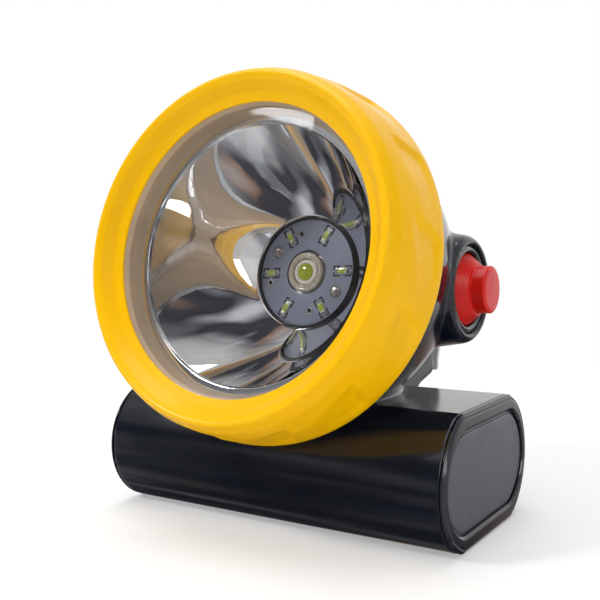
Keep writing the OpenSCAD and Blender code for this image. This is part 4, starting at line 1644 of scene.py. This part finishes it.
@dataclass
class CarriedNodes(Maker):
    """The CAD nodes whose shape stays, each with its procedural finish."""

    SLOTS: ClassVar[tuple[tuple[Slot, tuple[str, ...]], ...]] = (
        (Slot.BLACK_RUBBER, ("cap_seal_right", "cap_seal_left", "bezel_oring")),
        (Slot.CELL_WRAP, ("cell_front", "cell_rear")),
        (Slot.NICKEL, ("cell_tabs_right", "cell_tabs_left")),
        (Slot.GREEN_BOARD, ("protection_board", "driver_board")),
        (Slot.FOAM, ("cell_pads",)),
        (Slot.ALUMINIUM, ("heat_sink",)),
        (Slot.DARK_PARTS, ("driver_parts", "switch_body")),
        (Slot.BRASS, ("driver_spacers",)),
        (Slot.WHITE_PLASTIC, ("switch_plunger",)),
        (Slot.LEAD_RED, ("lamp_lead_red", "battery_lead_red")),
        (Slot.LEAD_BLACK, ("lamp_lead_black", "battery_lead_black")),
        (Slot.LEAD_WHITE, ("switch_leads", "charge_leads")),
    )

    def dress(self) -> None:
        """Gives every carried node its material."""
        for slot, names in self.SLOTS:
            for name in names:
                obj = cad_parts[name]
                if not obj.data.materials:
                    obj.data.materials.append(None)
                for index in range(len(obj.data.materials)):
                    obj.data.materials[index] = self.palette.made[slot]
                LOG.info("%s: CAD shape kept, finish %s", name, slot.value)


# ---- studio ----


@dataclass
class Studio:
    """Pale floor, soft light and the camera."""

    camera_at: tuple[float, float, float] = (0.09577, -0.15521, 0.05481)
    look_at: tuple[float, float, float] = (-0.00341, 0.0, 0.04413)
    roll: float = -0.56
    lens: float = 51.66
    light_aim: tuple[float, float, float] = (0, 0, 0.04)
    fill: float = 0.36
    floor_lift: float = 0.35
    room_share: float = 0.55
    back_glow: float = 1.15
    top_glow: float = 0.8
    side_glow: float = 0.8
    left_glow: float = 1.0
    room_seed: float = 0.0

    DIM: ClassVar[Colour] = (0.05, 0.056, 0.075)
    PATCH_COLOURS: ClassVar[tuple[tuple[float, Colour], ...]] = (
        (0.36, (0.9, 0.9, 0.92)), (0.42, (0.3, 0.3, 0.31)), (0.47, (0.02, 0.016, 0.015)),
        (0.56, (0.05, 0.035, 0.03)), (0.60, (0.42, 0.24, 0.15)), (0.66, (0.6, 0.58, 0.56)))

    def build_camera(self) -> None:
        """The camera in front of the lamp, a little to its right."""
        data = bpy.data.cameras.new("front_camera")
        data.lens, data.sensor_width = self.lens, 36.0
        data.clip_start, data.clip_end = 0.01, 20.0
        camera = bpy.data.objects.new("front_camera", data)
        aim = (Vector(self.look_at) - Vector(self.camera_at)).to_track_quat("-Z", "Y")
        turn = aim.to_matrix().to_4x4() @ Matrix.Rotation(math.radians(self.roll), 4, "Z")
        camera.matrix_world = Matrix.Translation(self.camera_at) @ turn
        bpy.context.scene.collection.objects.link(camera)
        bpy.context.scene.camera = camera

    def area(self, name: str, at: tuple[float, float, float], size: tuple[float, float], power: float
             ) -> None:
        """Adds a soft box that faces the lamp.

        Args:
            name: Its name.
            at: Where it hangs.
            size: Width and height in metres.
            power: Watts.
        """
        data = bpy.data.lights.new(name, "AREA")
        data.shape, data.size, data.size_y = "RECTANGLE", size[0], size[1]
        data.energy = power
        light = bpy.data.objects.new(name, data)
        light.location = at
        light.rotation_euler = (Vector(self.light_aim) - Vector(at)).to_track_quat("-Z", "Y").to_euler()
        bpy.context.scene.collection.objects.link(light)

    def build_floor(self) -> None:
        """A wide plain floor that runs out into the white surround."""
        points = np.array([(-2, -2, 0), (2, -2, 0), (2, 2, 0), (-2, 2, 0)], float)
        floor = build("studio_floor", points, [(0, 1, 2, 3)])
        clearance = 0.00002
        floor.location.z = float(CAD_BOX[0].z) - clearance
        material = bpy.data.materials.new("pale_floor")
        material.use_nodes = True
        g = Graph(material.node_tree)
        shader = material.node_tree.nodes["Principled BSDF"]
        output = material.node_tree.nodes["Material Output"]
        where = g.node("ShaderNodeTexCoord").outputs["Object"]
        cloud = g.noise(Vector=where, Scale=30.0).outputs["Fac"]
        g.put(shader, Base_Color=g.mix(cloud, (0.93, 0.93, 0.93), (0.96, 0.96, 0.96)),
              Roughness=g.remap(cloud, 0.3, 0.7, 0.6, 0.7))
        reach = g.node("ShaderNodeVectorMath", operation="LENGTH")
        g.feed(reach.inputs[0], where)
        away = g.remap(reach.outputs["Value"], 0.05, 0.32, self.floor_lift, 1.0)
        share = g.math("MULTIPLY", away, g.node("ShaderNodeLightPath").outputs["Is Camera Ray"])
        white = g.put(g.node("ShaderNodeEmission"), Color=WHITE, Strength=1.0)
        g.put(output, Surface=g.join(share, shader.outputs[0], white.outputs[0]))
        floor.data.materials.append(material)
        floor.visible_glossy = False

    def build_world(self) -> None:
        """A white surround for the camera, an even fill, and a dim room for the glossy surfaces."""
        world = bpy.data.worlds.new("studio_world")
        bpy.context.scene.world = world
        world.use_nodes = True
        world.node_tree.nodes.clear()
        g = Graph(world.node_tree)
        path = g.node("ShaderNodeLightPath").outputs
        seen, fill, mirrored = [
            g.put(g.node("ShaderNodeBackground"), Color=colour, Strength=strength).outputs[0]
            for colour, strength in ((WHITE, 1.0), (WHITE, self.fill), (self.room(g), 1.0))]
        lit = g.join(path["Is Glossy Ray"], fill, mirrored)
        g.put(g.node("ShaderNodeOutputWorld"), Surface=g.join(path["Is Camera Ray"], lit, seen))

    def room(self, g: Graph) -> bpy.types.NodeSocket:
        """The room that shows in gloss and chrome: dim and patchy, with bright zones round it.

        Args:
            g: The world's graph.

        Returns:
            The colour in each direction.
        """
        coords = g.node("ShaderNodeTexCoord").outputs["Generated"]
        axes = g.split(coords)
        patches = g.put(g.node("ShaderNodeTexNoise", noise_dimensions="4D"), Vector=coords,
                        W=self.room_seed, Scale=1.6, Detail=1.5, Distortion=0.6).outputs["Fac"]
        ramp = g.node("ShaderNodeValToRGB")
        stops = ramp.color_ramp.elements
        first, *middle, last = self.PATCH_COLOURS
        for stop, (position, colour) in zip(stops, (first, last)):
            stop.position, stop.color = position, (*colour, 1)
        for position, colour in middle:
            stops.new(position).color = (*colour, 1)
        g.feed(ramp.inputs[0], patches)
        back = g.remap(axes["Y"], 0.0, 0.8, 0.0, 1.0)
        above = g.remap(axes["Z"], 0.45, 0.95, 0.0, 1.0)
        over_floor = g.remap(axes["Z"], -0.35, -0.05, 0.0, 1.0)
        ragged = g.math("ADD", axes["X"], g.math("MULTIPLY", patches, 0.35))
        right = g.remap(ragged, 0.72, 0.92, 0.0, 1.0)
        ragged = g.math("SUBTRACT", g.math("MULTIPLY", patches, 0.3), axes["X"])
        left = g.remap(ragged, 0.80, 0.92, 0.0, 1.0)
        low = g.remap(axes["Z"], 0.05, 0.25, 1.0, 0.0)
        colour = g.mix(self.room_share, self.DIM, ramp.outputs[0])
        for zone, glow in ((g.math("MULTIPLY", back, over_floor), self.back_glow), (above, self.top_glow),
                           (right, self.side_glow), (g.math("MULTIPLY", left, low), self.left_glow)):
            colour = g.mix(zone, colour, (glow,) * 3)
        return colour

    def build(self) -> None:
        """Builds the whole studio."""
        self.build_camera()
        self.build_floor()
        self.build_world()
        self.area("key_box", (-0.45, -0.55, 0.6), (0.16, 0.16), 3.6)
        self.area("top_box", (-0.1, 0.0, 0.9), (0.8, 0.6), 5.5)
        self.area("right_box", (0.8, -0.3, 0.35), (0.3, 0.5), 2.0)
        scene = bpy.context.scene
        scene.view_settings.view_transform = "Standard"
        scene.view_settings.look = "None"


def main() -> None:
    """Builds the studio and the lamp's sub-assemblies in order."""
    logging.basicConfig(level=logging.INFO, format="%(name)s %(message)s")
    Studio().build()
    palette = Palette()
    housing = Housing(palette)
    housing.build_shell()
    housing.build_spigot()
    tube = BatteryTube(palette)
    tube.build_cap(1, "right")
    tube.build_cap(-1, "left")
    Bezel(palette).build()
    Optics(palette).build()
    LampBoard(palette).build()
    button = PushButton(palette)
    button.build()
    button.build_spring()
    HelmetHook(palette).build()
    CarriedNodes(palette).dress()


if __name__ == "__main__":
    main()
